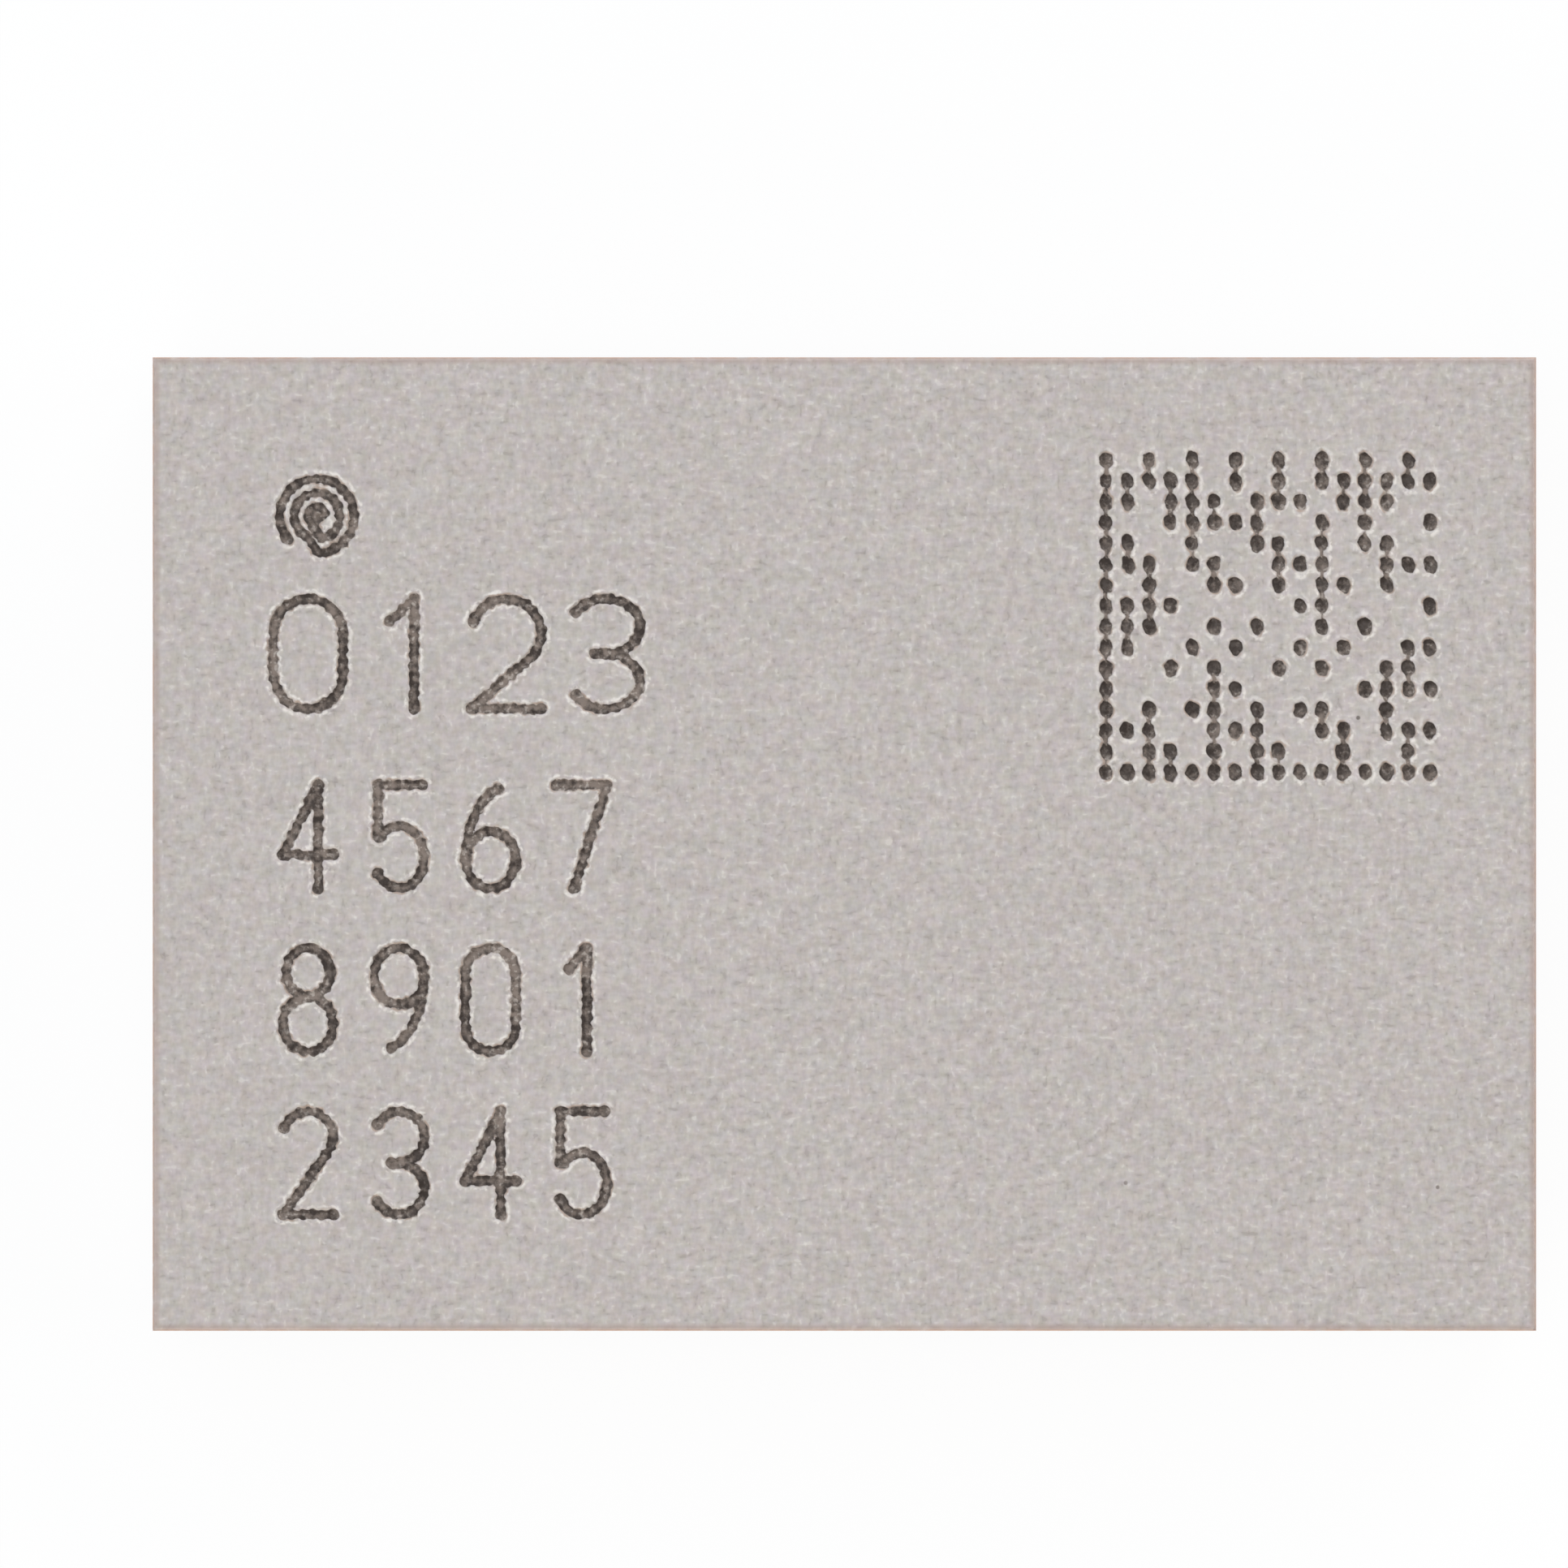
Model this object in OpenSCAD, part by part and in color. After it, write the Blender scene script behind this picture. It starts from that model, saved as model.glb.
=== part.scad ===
// Ball grid package, moulded on both sides of a laminate, with a sputtered metal shield.
// Origin: centre of the outline, on the plane that the solder balls stand on.
// X runs along the long side, Y along the short side, Z is up. The pin one corner is at -X, +Y.

/* [Ball grid] */
// Number of ball columns along X
ball_cols = 15; // [15:2:21]
// Number of ball rows along Y
ball_rows = 10; // [10:1:14]
// Pitch of the columns
pitch_x = 0.40; // [0.38:0.005:0.50]
// Pitch of the rows
pitch_y = 0.4225; // [0.39:0.0025:0.50]
// Distance from the centres of the outer columns to the package edge
margin_x = 0.27; // [0.24:0.005:0.40]
// Distance from the centres of the outer rows to the package edge
margin_y = 0.259; // [0.24:0.001:0.40]

/* [Solder balls] */
// Diameter of a ball
ball_d = 0.274; // [0.26:0.002:0.29]
// Diameter of the mask opening that a ball is soldered into
ball_open_d = 0.21; // [0.18:0.005:0.22]
// Gap between the seating plane and the underside of the mould
stand_off = 0.09; // [0.07:0.005:0.11]

/* [Bottom mould] */
// Diameter of the rim of the well that is cut round each ball
well_rim_d = 0.344; // [0.31:0.002:0.36]
// Width of the flat ring between a well's wall and its ball
well_gap = 0.008; // [0.004:0.001:0.015]

/* [Laminate] */
// Thickness of the laminate without its solder masks
laminate_t = 0.23; // [0.20:0.01:0.40]
// Thickness of each solder mask
mask_t = 0.020; // [0.015:0.001:0.030]
// Thickness of the outer copper lands, under the masks
land_t = 0.012; // [0.008:0.001:0.014]
// Width by which a land reaches under the mask round its opening
land_rim = 0.018; // [0.010:0.001:0.022]
// Thickness of each inner copper plane
plane_t = 0.015; // [0.010:0.001:0.020]
// Depth of the ground plane below the laminate's upper face
ground_depth = 0.055; // [0.040:0.005:0.070]
// Height of the supply plane above the laminate's lower face
supply_depth = 0.055; // [0.040:0.005:0.070]
// Distance from the supply plane's edge to the laminate's edge
supply_setback = 0.10; // [0.06:0.01:0.12]
// Diameter of a filled via
via_d = 0.06; // [0.04:0.005:0.08]
// Gap between a via and a plane that it passes through
antipad_gap = 0.035; // [0.020:0.005:0.050]

/* [Top mould and shield] */
// Thickness of the mould over the laminate
top_mold_t = 0.591; // [0.50:0.001:0.90]
// Thickness of the sputtered metal film
film_t = 0.014; // [0.012:0.001:0.020]
// Height of the film's lower rim above the underside of the mould
rim_setback = 0.012; // [0:0.002:0.040]

/* [Laser marks] */
// Depth of the marks in the film
mark_depth = 0.008; // [0.004:0.001:0.010]
// Width of a digit's strokes
stroke_w = 0.052; // [0.030:0.002:0.060]
// Width of a digit in the three lower rows
digit_w = 0.275; // [0.24:0.005:0.33]
// Height of a digit in the three lower rows
digit_h = 0.51; // [0.44:0.01:0.60]
// Pitch of the digits along the three lower rows
digit_pitch = 0.405; // [0.38:0.005:0.46]
// Pitch of the three lower rows
row_pitch = 0.724; // [0.66:0.004:0.76]
// Width of a digit in the head row
head_w = 0.36; // [0.30:0.01:0.38]
// Height of a digit in the head row
head_h = 0.54; // [0.46:0.01:0.60]
// Pitch of the digits along the head row
head_pitch = 0.44; // [0.42:0.005:0.48]
// Distance from the head row's middle to the next row's middle
head_drop = 0.811; // [0.76:0.005:0.85]
// Distance from the package's left edge to the middle of the first digits
digits_inset_x = 0.69; // [0.60:0.01:0.90]
// Distance from the package's lower edge to the middle of the last digit row
digits_inset_y = 0.745; // [0.50:0.005:0.80]
// Outer radius of the pin one spiral
spiral_r = 0.19; // [0.17:0.005:0.22]
// Width of the spiral's line
spiral_w = 0.044; // [0.030:0.002:0.050]
// Distance between two turns of the spiral
spiral_step = 0.066; // [0.060:0.001:0.070]
// Distance from the spiral's middle to the package's left edge
spiral_inset_x = 0.73; // [0.40:0.01:0.90]
// Distance from the spiral's middle to the package's upper edge
spiral_inset_y = 0.705; // [0.40:0.005:0.75]
// Number of dots along each side of the dot field
field_n = 16; // [10:2:20]
// Diameter of a dot
dot_d = 0.064; // [0.050:0.002:0.076]
// Pitch of the dots along X
dot_pitch_x = 0.0958; // [0.09:0.0002:0.104]
// Pitch of the dots along Y
dot_pitch_y = 0.0923; // [0.09:0.0001:0.104]
// Distance from the dot field's middle to the package's right edge
field_inset_x = 1.191; // [0.95:0.001:1.30]
// Distance from the dot field's middle to the package's upper edge
field_inset_y = 1.148; // [0.95:0.001:1.30]

/* [Dies] */
// Thickness of the dies on the upper side
die_t = 0.15; // [0.10:0.01:0.25]
// Thickness of the dies on the lower side
thin_die_t = 0.07; // [0.05:0.005:0.075]
// Diameter of a copper pillar
pillar_d = 0.07; // [0.05:0.005:0.09]
// Pitch of the pillars under a die
pillar_pitch = 0.24; // [0.20:0.01:0.30]
// Least distance from a pillar's middle to its die's edge
pillar_inset = 0.09; // [0.06:0.01:0.12]
// Gap between a die on the upper side and the mask
die_gap = 0.045; // [0.030:0.005:0.080]
// Gap between a die on the lower side and the mask
thin_die_gap = 0.030; // [0.020:0.005:0.035]
// Length of the power amplifier die
power_amp_len = 1.40; // [1.2:0.05:1.5]
// Width of the power amplifier die
power_amp_wid = 1.20; // [1.0:0.05:1.3]
// Length of the driver die
driver_len = 1.10; // [0.9:0.05:1.3]
// Width of the driver die
driver_wid = 0.90; // [0.7:0.05:1.0]
// Length of the controller die
controller_len = 0.90; // [0.7:0.05:1.0]
// Width of the controller die
controller_wid = 0.80; // [0.6:0.05:0.9]
// Length of the antenna switch die
antenna_switch_len = 1.10; // [0.9:0.05:1.2]
// Width of the antenna switch die
antenna_switch_wid = 0.90; // [0.7:0.05:1.0]
// Length of the low noise amplifier die
low_noise_amp_len = 1.40; // [1.2:0.05:1.6]
// Width of the low noise amplifier die
low_noise_amp_wid = 1.20; // [1.0:0.05:1.4]
// Length of the receive switch die
receive_switch_len = 1.20; // [1.0:0.05:1.4]
// Width of the receive switch die
receive_switch_wid = 1.10; // [1.0:0.05:1.4]

/* [Filters] */
// Length of a filter
filter_len = 1.00; // [0.8:0.05:1.1]
// Width of a filter
filter_wid = 0.80; // [0.6:0.05:0.9]
// Thickness of a filter
filter_t = 0.24; // [0.15:0.01:0.30]
// Diameter of a filter's solder joints
filter_joint_d = 0.10; // [0.08:0.005:0.12]
// Pitch of a filter's solder joints
filter_joint_pitch = 0.28; // [0.24:0.01:0.32]
// Gap between a filter and the mask
filter_gap = 0.035; // [0.020:0.005:0.060]

/* [Chip capacitors and inductors] */
// Length of a capacitor over its terminals
cap_len = 0.40; // [0.36:0.01:0.44]
// Width of a capacitor over its terminals
cap_wid = 0.20; // [0.16:0.01:0.22]
// Height of a capacitor over its terminals
cap_t = 0.20; // [0.16:0.01:0.30]
// Length of an inductor over its terminals
inductor_len = 0.60; // [0.50:0.01:0.66]
// Width of an inductor over its terminals
inductor_wid = 0.30; // [0.24:0.01:0.34]
// Height of an inductor over its terminals
inductor_t = 0.30; // [0.20:0.01:0.40]
// Length of a terminal, as a share of its component's length
term_share = 0.24; // [0.18:0.01:0.30]
// Thickness of a terminal's metal
term_wrap = 0.010; // [0.006:0.001:0.015]
// Height of the solder between a terminal and the mask
solder_gap = 0.015; // [0.008:0.001:0.030]

/* [Hidden] */
$fn = 48;
eps = 0.05;                        // reach of a cut past a free surface
arc_step = 15;                     // degrees between the points of a drawn arc

ball_r = ball_d / 2;
ball_open_r = ball_open_d / 2;
ball_mid = sqrt(ball_r * ball_r - ball_open_r * ball_open_r);  // ball's middle, from the mask
ball_h = ball_r + ball_mid;        // from the mask to the seating plane
bottom_mold_t = ball_h - stand_off;
package_len = (ball_cols - 1) * pitch_x + 2 * margin_x;
package_wid = (ball_rows - 1) * pitch_y + 2 * margin_y;
core_len = package_len - 2 * film_t;   // inside the film
core_wid = package_wid - 2 * film_t;
lower_mask_z = ball_h;
laminate_z = lower_mask_z + mask_t;
upper_mask_z = laminate_z + laminate_t + mask_t;
mold_top_z = upper_mask_z + top_mold_t;
package_h = mold_top_z + film_t;
supply_z = laminate_z + supply_depth;
ground_z = laminate_z + laminate_t - ground_depth - plane_t;

row_letters = "abcdefghjklmnp";
function ball_node(r) = str("balls_row_", row_letters[r - 1]);
ball_nodes = [for (r = [1:ball_rows]) ball_node(r)];

// ---- The ball map: outer ring, corner pairs and a second row at two ends ----
function ball_at(c, r) = [(c - (ball_cols + 1) / 2) * pitch_x, ((ball_rows + 1) / 2 - r) * pitch_y];
function has_ball(c, r) =
    r == 1 || r >= ball_rows - 1 || c == 1 || c == ball_cols
    || ((c == 2 || c == ball_cols - 1) && (r == 2 || r > 4));
function balls_in(r) = [for (c = [1:ball_cols]) if (has_ball(c, r)) ball_at(c, r)];
signal_rows = [1, ball_rows];      // their vias run right through the laminate
supply_col = (ball_cols + 1) / 2;  // signal vias of this column feed the supply plane
signal_places = [for (r = signal_rows) for (p = balls_in(r)) p];
ground_places = [for (r = [2:ball_rows - 1]) for (p = balls_in(r)) p];
all_places = concat(signal_places, ground_places);
function is_supply(p) = abs(p.x - ball_at(supply_col, 1).x) < pitch_x / 4;
supply_places = [for (p = signal_places) if (is_supply(p)) p];
other_signals = [for (p = signal_places) if (!is_supply(p)) p];

// ---- Where the components stand, in ball pitches from the middle ----
// A chip is [place, length, width, thickness, joint diameter, joint pitch, gap to the mask].
function on_grid(across, up) = [across * pitch_x, up * pitch_y];
function upper_die(place, l, w) = [place, l, w, die_t, pillar_d, pillar_pitch, die_gap];
function lower_die(place, l, w) = [place, l, w, thin_die_t, pillar_d, pillar_pitch, thin_die_gap];
function filter(place) =
    [place, filter_len, filter_wid, filter_t, filter_joint_d, filter_joint_pitch, filter_gap];
power_amp = upper_die(on_grid(-4.8, 2.6), power_amp_len, power_amp_wid);
driver = upper_die(on_grid(-4.8, -0.8), driver_len, driver_wid);
controller = upper_die(on_grid(1.2, -2.3), controller_len, controller_wid);
antenna_switch = upper_die(on_grid(4.4, -2.3), antenna_switch_len, antenna_switch_wid);
low_noise_amp = lower_die(on_grid(-2.4, 0.6), low_noise_amp_len, low_noise_amp_wid);
receive_switch = lower_die(on_grid(2.4, 0.6), receive_switch_len, receive_switch_wid);
filters = [for (up = [3.4, 0.9]) for (across = [1.1, 4.1]) filter(on_grid(across, up))];
upper_dies = [power_amp, driver, controller, antenna_switch];
lower_dies = [low_noise_amp, receive_switch];
upper_chips = concat(upper_dies, filters);

// A passive is [place, turn, length, width, height].
function capacitor(place) = [place, 0, cap_len, cap_wid, cap_t];
function inductor(place, turn) = [place, turn, inductor_len, inductor_wid, inductor_t];
capacitors = concat(
    [for (k = [-5:5]) capacitor(on_grid(1.25 * k, -4.3))],
    [for (k = [0:4]) capacitor(on_grid(0.4 + 1.25 * k, -0.55))],
    [for (k = [0:5]) capacitor(on_grid(6.4, 4.1 - 0.8 * k))]);
inductors = concat(
    [for (across = [-2.4, -1.2]) for (k = [0:3]) inductor(on_grid(across, 3.9 - 2 * k), 90)],
    [for (across = [-5.8, -3.8]) inductor(on_grid(across, -2.9), 0)]);
passives = concat(capacitors, inductors);

// Places of a chip's joints: as many as fit inside its edge, centred.
function spread(size, pitch, inset) =
    let (n = floor((size - 2 * inset) / pitch + 0.001)) [for (i = [0:n]) (i - n / 2) * pitch];
function joints(chip) =
    [for (x = spread(chip[1], chip[5], pillar_inset))
        for (y = spread(chip[2], chip[5], pillar_inset)) chip[0] + [x, y]];

// ---- Frames: z = 0 is the mask's outer face, and +z points away from the laminate ----
module above() { translate([0, 0, upper_mask_z]) children(); }
module below() { translate([0, 0, lower_mask_z]) mirror([0, 0, 1]) children(); }

module block(l, w, h) { translate([-l / 2, -w / 2, 0]) cube([l, w, h]); }
module posts(places, d, z, h) { for (p = places) translate([p.x, p.y, z]) cylinder(d = d, h = h); }

module chip_body(chip) {
    translate([chip[0].x, chip[0].y, chip[6]]) block(chip[1], chip[2], chip[3]);
}
// From the land's face, through the mask, to the chip.
module chip_joints(chip) { posts(joints(chip), chip[4], land_t - mask_t, mask_t - land_t + chip[6]); }
module chip_lands(chip) { posts(joints(chip), chip[4] + 2 * land_rim, -mask_t, land_t); }

module at_passive(p) { translate([p[0].x, p[0].y, 0]) rotate(p[1]) children(); }
module at_terminals(p) {
    for (side = [-1, 1]) translate([side * p[2] * (1 - term_share) / 2, 0, 0]) children();
}
module passive_body(p) {
    at_passive(p) translate([0, 0, solder_gap + term_wrap])
        block(p[2] - 2 * term_wrap, p[3] - 2 * term_wrap, p[4] - 2 * term_wrap);
}
module passive_terminals(p) {
    difference() {
        at_passive(p) at_terminals(p) translate([0, 0, solder_gap])
            block(p[2] * term_share, p[3], p[4]);
        passive_body(p);
    }
}
// The solder stands on the land, fills the mask opening and carries the terminal.
module passive_solder(p) {
    at_passive(p) at_terminals(p) translate([0, 0, land_t - mask_t])
        block(p[2] * term_share, p[3], mask_t - land_t + solder_gap);
}
module passive_lands(p) {
    at_passive(p) at_terminals(p) translate([0, 0, -mask_t])
        block(p[2] * term_share + 2 * land_rim, p[3] + 2 * land_rim, land_t);
}

// ---- Solder balls: a sphere cut flat at the mask, with a neck down to the land ----
module ball() {
    difference() {
        translate([0, 0, ball_mid]) sphere(r = ball_r);
        translate([0, 0, -ball_d]) block(ball_d, ball_d, ball_d);
    }
}
module ball_necks(places) { posts(places, ball_open_d, land_t - mask_t, mask_t - land_t); }
module ball_row(r) {
    color([0.80, 0.80, 0.82]) below() {
        for (p = balls_in(r)) translate([p.x, p.y, 0]) ball();
        ball_necks(balls_in(r));
    }
}

// ---- Mouldings ----
// The well's wall slopes from the rim to a narrow flat ring at the ball's widest circle.
module well() {
    translate([0, 0, ball_mid])
        cylinder(r1 = ball_r + well_gap, r2 = well_rim_d / 2, h = bottom_mold_t - ball_mid);
}
module bottom_mold() {
    color([0.21, 0.20, 0.23]) below() difference() {
        block(core_len, core_wid, bottom_mold_t);
        for (p = all_places) translate([p.x, p.y, 0]) well();
        for (p = all_places) translate([p.x, p.y, 0]) ball();
        for (chip = lower_dies) { chip_body(chip); chip_joints(chip); }
    }
}
module top_mold() {
    color([0.16, 0.16, 0.18]) above() difference() {
        block(core_len, core_wid, top_mold_t);
        for (chip = upper_chips) { chip_body(chip); chip_joints(chip); }
        for (p = passives) { passive_body(p); passive_terminals(p); passive_solder(p); }
    }
}

// ---- Laminate and its copper ----
module upper_solder_mask() {
    color([0.06, 0.20, 0.12]) above() difference() {
        translate([0, 0, -mask_t]) block(core_len, core_wid, mask_t);
        for (chip = upper_chips) { chip_lands(chip); chip_joints(chip); }
        for (p = passives) { passive_lands(p); passive_solder(p); }
    }
}
module lower_solder_mask() {
    color([0.06, 0.20, 0.12]) below() difference() {
        translate([0, 0, -mask_t]) block(core_len, core_wid, mask_t);
        ball_lands();
        ball_necks(all_places);
        for (chip = lower_dies) { chip_lands(chip); chip_joints(chip); }
    }
}
module ball_lands() { posts(all_places, ball_open_d + 2 * land_rim, -mask_t, land_t); }
module upper_lands() {
    color([0.78, 0.50, 0.25]) above() {
        for (chip = upper_chips) chip_lands(chip);
        for (p = passives) passive_lands(p);
    }
}
module lower_lands() {
    color([0.78, 0.50, 0.25]) below() {
        ball_lands();
        for (chip = lower_dies) chip_lands(chip);
    }
}
module antipads(places, z) { posts(places, via_d + 2 * antipad_gap, z - eps, plane_t + 2 * eps); }
module ground_sheet() {
    difference() {
        translate([0, 0, ground_z]) block(core_len, core_wid, plane_t);
        antipads(signal_places, ground_z);
    }
}
module supply_sheet() {
    difference() {
        translate([0, 0, supply_z])
            block(core_len - 2 * supply_setback, core_wid - 2 * supply_setback, plane_t);
        antipads(concat(ground_places, other_signals), supply_z);
        signal_posts();
    }
}
module signal_posts() { posts(signal_places, via_d, laminate_z, laminate_t); }
module ground_posts() { posts(ground_places, via_d, laminate_z, ground_z - laminate_z); }
module thermal_posts() {
    posts(joints(power_amp), via_d, ground_z + plane_t, ground_depth);
}
module ground_plane() { color([0.72, 0.45, 0.22]) ground_sheet(); }
module supply_plane() { color([0.72, 0.45, 0.22]) supply_sheet(); }
module ground_vias() { color([0.80, 0.52, 0.28]) ground_posts(); }
module signal_vias() { color([0.80, 0.52, 0.28]) signal_posts(); }
module thermal_vias() { color([0.80, 0.52, 0.28]) thermal_posts(); }
module laminate() {
    color([0.55, 0.52, 0.36]) difference() {
        translate([0, 0, laminate_z]) block(core_len, core_wid, laminate_t);
        ground_sheet();
        supply_sheet();
        signal_posts();
        ground_posts();
        thermal_posts();
    }
}

// ---- Laser marks, as outlines of strokes with round ends ----
function unit(v) = v / norm(v);
function normal(v) = [-v.y, v.x];
// Direction of a path at point i, and how much a corner stretches its sides.
function step_in(p, i) = unit(p[max(i, 1)] - p[max(i, 1) - 1]);
function step_out(p, i) = unit(p[min(i, len(p) - 2) + 1] - p[min(i, len(p) - 2)]);
function side_point(p, i, reach) =
    let (n = unit(normal(step_in(p, i)) + normal(step_out(p, i))))
        p[i] + n * reach / (n * normal(step_in(p, i)));
function cap(at, dir, reach) =
    let (a = atan2(dir.y, dir.x))
        [for (t = [-90 + arc_step:arc_step:90 - arc_step]) at + reach * [cos(a + t), sin(a + t)]];
module stroke(p, w) {
    last = len(p) - 1;
    polygon(concat(
        [for (i = [0:last]) side_point(p, i, -w / 2)],
        cap(p[last], step_out(p, last), w / 2),
        [for (i = [last:-1:0]) side_point(p, i, w / 2)],
        cap(p[0], -step_in(p, 0), w / 2)));
}
function arc(mid, rx, ry, from, to) =
    let (n = ceil(abs(to - from) / arc_step))
        [for (i = [0:n]) let (t = from + (to - from) * i / n) mid + [rx * cos(t), ry * sin(t)]];
// A closed loop: two half ellipses with straight sides between them.
function loop(mid, rx, ry, straight) =
    concat(arc(mid + [0, straight], rx, ry, 0, 180), arc(mid - [0, straight], rx, ry, 180, 360));
module ring(mid, rx, ry, straight, w) {
    difference() {
        polygon(loop(mid, rx + w / 2, ry + w / 2, straight));
        polygon(loop(mid, rx - w / 2, ry - w / 2, straight));
    }
}

// The open strokes of each digit, in a box from [-a, -b] to [a, b].
function digit_strokes(n, a, b) =
    n == 1 ? [[[-0.5 * a, 0.6 * b], [0.2 * a, b]], [[0.2 * a, b], [0.2 * a, -b]]]
    : n == 2 ? [concat(arc([0, b - a], a, a, 160, -40), [[-a, -b]]), [[-a, -b], [a, -b]]]
    : n == 3 ? [concat(arc([0, b / 2], a, b / 2, 150, -90), [[-0.3 * a, 0]]),
                arc([0, -b / 2], a, b / 2, 90, -150)]
    : n == 4 ? [[[0.4 * a, b], [-a, -0.35 * b]], [[-a, -0.35 * b], [a, -0.35 * b]],
                [[0.4 * a, b], [0.4 * a, -b]]]
    : n == 5 ? [[[-0.85 * a, b], [0.9 * a, b]], [[-0.85 * a, b], [-0.85 * a, 0]],
                arc([0, -0.4 * b], a, 0.6 * b, 138, -150)]
    : n == 6 ? [arc([0.9 * a, -0.45 * b], 1.9 * a, 1.45 * b, 180, 108)]
    : n == 7 ? [[[-a, b], [a, b]], [[a, b], [-0.3 * a, -b]]]
    : n == 9 ? [arc([-0.9 * a, 0.45 * b], 1.9 * a, 1.45 * b, 0, -72)]
    : [];
// The closed loops of each digit, each as [middle, rx, ry, straight].
function digit_loops(n, a, b) =
    n == 0 ? [[[0, 0], a, a, b - a]]
    : n == 6 ? [[[0, -0.45 * b], a, 0.55 * b, 0]]
    : n == 8 ? [[[0, 0.53 * b], 0.88 * a, 0.47 * b, 0], [[0, -0.47 * b], a, 0.53 * b, 0]]
    : n == 9 ? [[[0, 0.45 * b], a, 0.55 * b, 0]]
    : [];
module groove() { translate([0, 0, package_h - mark_depth]) linear_extrude(mark_depth + eps) children(); }
module digit(n, w, h) {
    a = (w - stroke_w) / 2;
    b = (h - stroke_w) / 2;
    for (s = digit_strokes(n, a, b)) groove() stroke(s, stroke_w);
    for (l = digit_loops(n, a, b)) groove() ring(l[0], l[1], l[2], l[3], stroke_w);
}
digit_cols = 4;
left_x = digits_inset_x - package_len / 2;
last_row_y = digits_inset_y - package_wid / 2;
// The digits simply run on: 0 1 2 3 in the head row, and then 4 5 6 7, 8 9 0 1 and 2 3 4 5.
module digits() {
    for (k = [0:digit_cols - 1]) {
        translate([left_x + k * head_pitch, last_row_y + 2 * row_pitch + head_drop, 0])
            digit(k, head_w, head_h);
        for (row = [1:3]) translate([left_x + k * digit_pitch, last_row_y + (3 - row) * row_pitch, 0])
            digit((digit_cols * row + k) % 10, digit_w, digit_h);
    }
}

// Outer turn, a straight step to the inner turn, and a small hook in the middle.
spiral_place = [spiral_inset_x - package_len / 2, package_wid / 2 - spiral_inset_y];
outer_turn = spiral_r - spiral_w / 2;
inner_turn = outer_turn - spiral_step;
core_turn = inner_turn - spiral_step;
function turn(r, from, to) = arc(spiral_place, r, r, from, to);
spiral_path = concat(turn(outer_turn, 218, -86), turn(inner_turn, -122, -440), turn(core_turn, -490, -640));

// Solid left column and bottom row, broken top row and right column, scattered dots inside.
function in_field(i, j) =
    i == 0 || j == 0 ? true
    : j == field_n - 1 ? i % 2 == 0
    : i == field_n - 1 ? j % 2 == 0
    : (i * i * 7 + j * j * 5 + i * j * 3 + i * 13 + j * 11) % 17 % 2 == 0;
field_mid = [package_len / 2 - field_inset_x, package_wid / 2 - field_inset_y];
field_places = [for (i = [0:field_n - 1]) for (j = [0:field_n - 1]) if (in_field(i, j))
    field_mid + [(i - (field_n - 1) / 2) * dot_pitch_x, (j - (field_n - 1) / 2) * dot_pitch_y]];

// The film covers the top and the four sides, and its marks don't break through it.
module shield_film() {
    rim_z = stand_off + rim_setback;
    color([0.745, 0.718, 0.698]) difference() {
        translate([0, 0, rim_z]) block(package_len, package_wid, package_h - rim_z);
        translate([0, 0, rim_z - eps]) block(core_len, core_wid, mold_top_z - rim_z + eps);
        digits();
        groove() stroke(spiral_path, spiral_w);
        posts(field_places, dot_d, package_h - mark_depth, mark_depth + eps);
    }
}

module silicon(chip) { color([0.36, 0.38, 0.42]) above() chip_body(chip); }
module thin_silicon(chip) { color([0.36, 0.38, 0.42]) below() chip_body(chip); }
module pillars(chip) { color([0.72, 0.48, 0.30]) above() chip_joints(chip); }
module thin_pillars(chip) { color([0.72, 0.48, 0.30]) below() chip_joints(chip); }
module filter_body(i) { color([0.26, 0.30, 0.38]) above() chip_body(filters[i]); }
module filter_joints() { color([0.80, 0.80, 0.82]) above() for (f = filters) chip_joints(f); }
module capacitor_bodies() { color([0.60, 0.50, 0.38]) above() for (p = capacitors) passive_body(p); }
module inductor_bodies() { color([0.22, 0.26, 0.40]) above() for (p = inductors) passive_body(p); }
module capacitor_terminals() { color([0.82, 0.82, 0.80]) above() for (p = capacitors) passive_terminals(p); }
module inductor_terminals() { color([0.82, 0.82, 0.80]) above() for (p = inductors) passive_terminals(p); }
module passive_joints() { color([0.80, 0.80, 0.82]) above() for (p = passives) passive_solder(p); }

shield_film();
top_mold();
bottom_mold();
upper_solder_mask();
lower_solder_mask();
laminate();
ground_plane();
supply_plane();
ground_vias();
signal_vias();
thermal_vias();
upper_lands();
lower_lands();
silicon(power_amp);  // power_amp_die
pillars(power_amp);  // power_amp_pillars
silicon(driver);  // driver_die
pillars(driver);  // driver_pillars
silicon(controller);  // controller_die
pillars(controller);  // controller_pillars
silicon(antenna_switch);  // antenna_switch_die
pillars(antenna_switch);  // antenna_switch_pillars
thin_silicon(low_noise_amp);  // low_noise_amp_die
thin_pillars(low_noise_amp);  // low_noise_amp_pillars
thin_silicon(receive_switch);  // receive_switch_die
thin_pillars(receive_switch);  // receive_switch_pillars
filter_body(0);  // filter_a
filter_body(1);  // filter_b
filter_body(2);  // filter_c
filter_body(3);  // filter_d
filter_joints();
capacitor_bodies();
capacitor_terminals();
inductor_bodies();
inductor_terminals();
passive_joints();
for (r = [1:ball_rows]) ball_row(r);
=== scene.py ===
import math

import bpy
import numpy as np
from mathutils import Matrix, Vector
from mathutils.geometry import delaunay_2d_cdt


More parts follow.
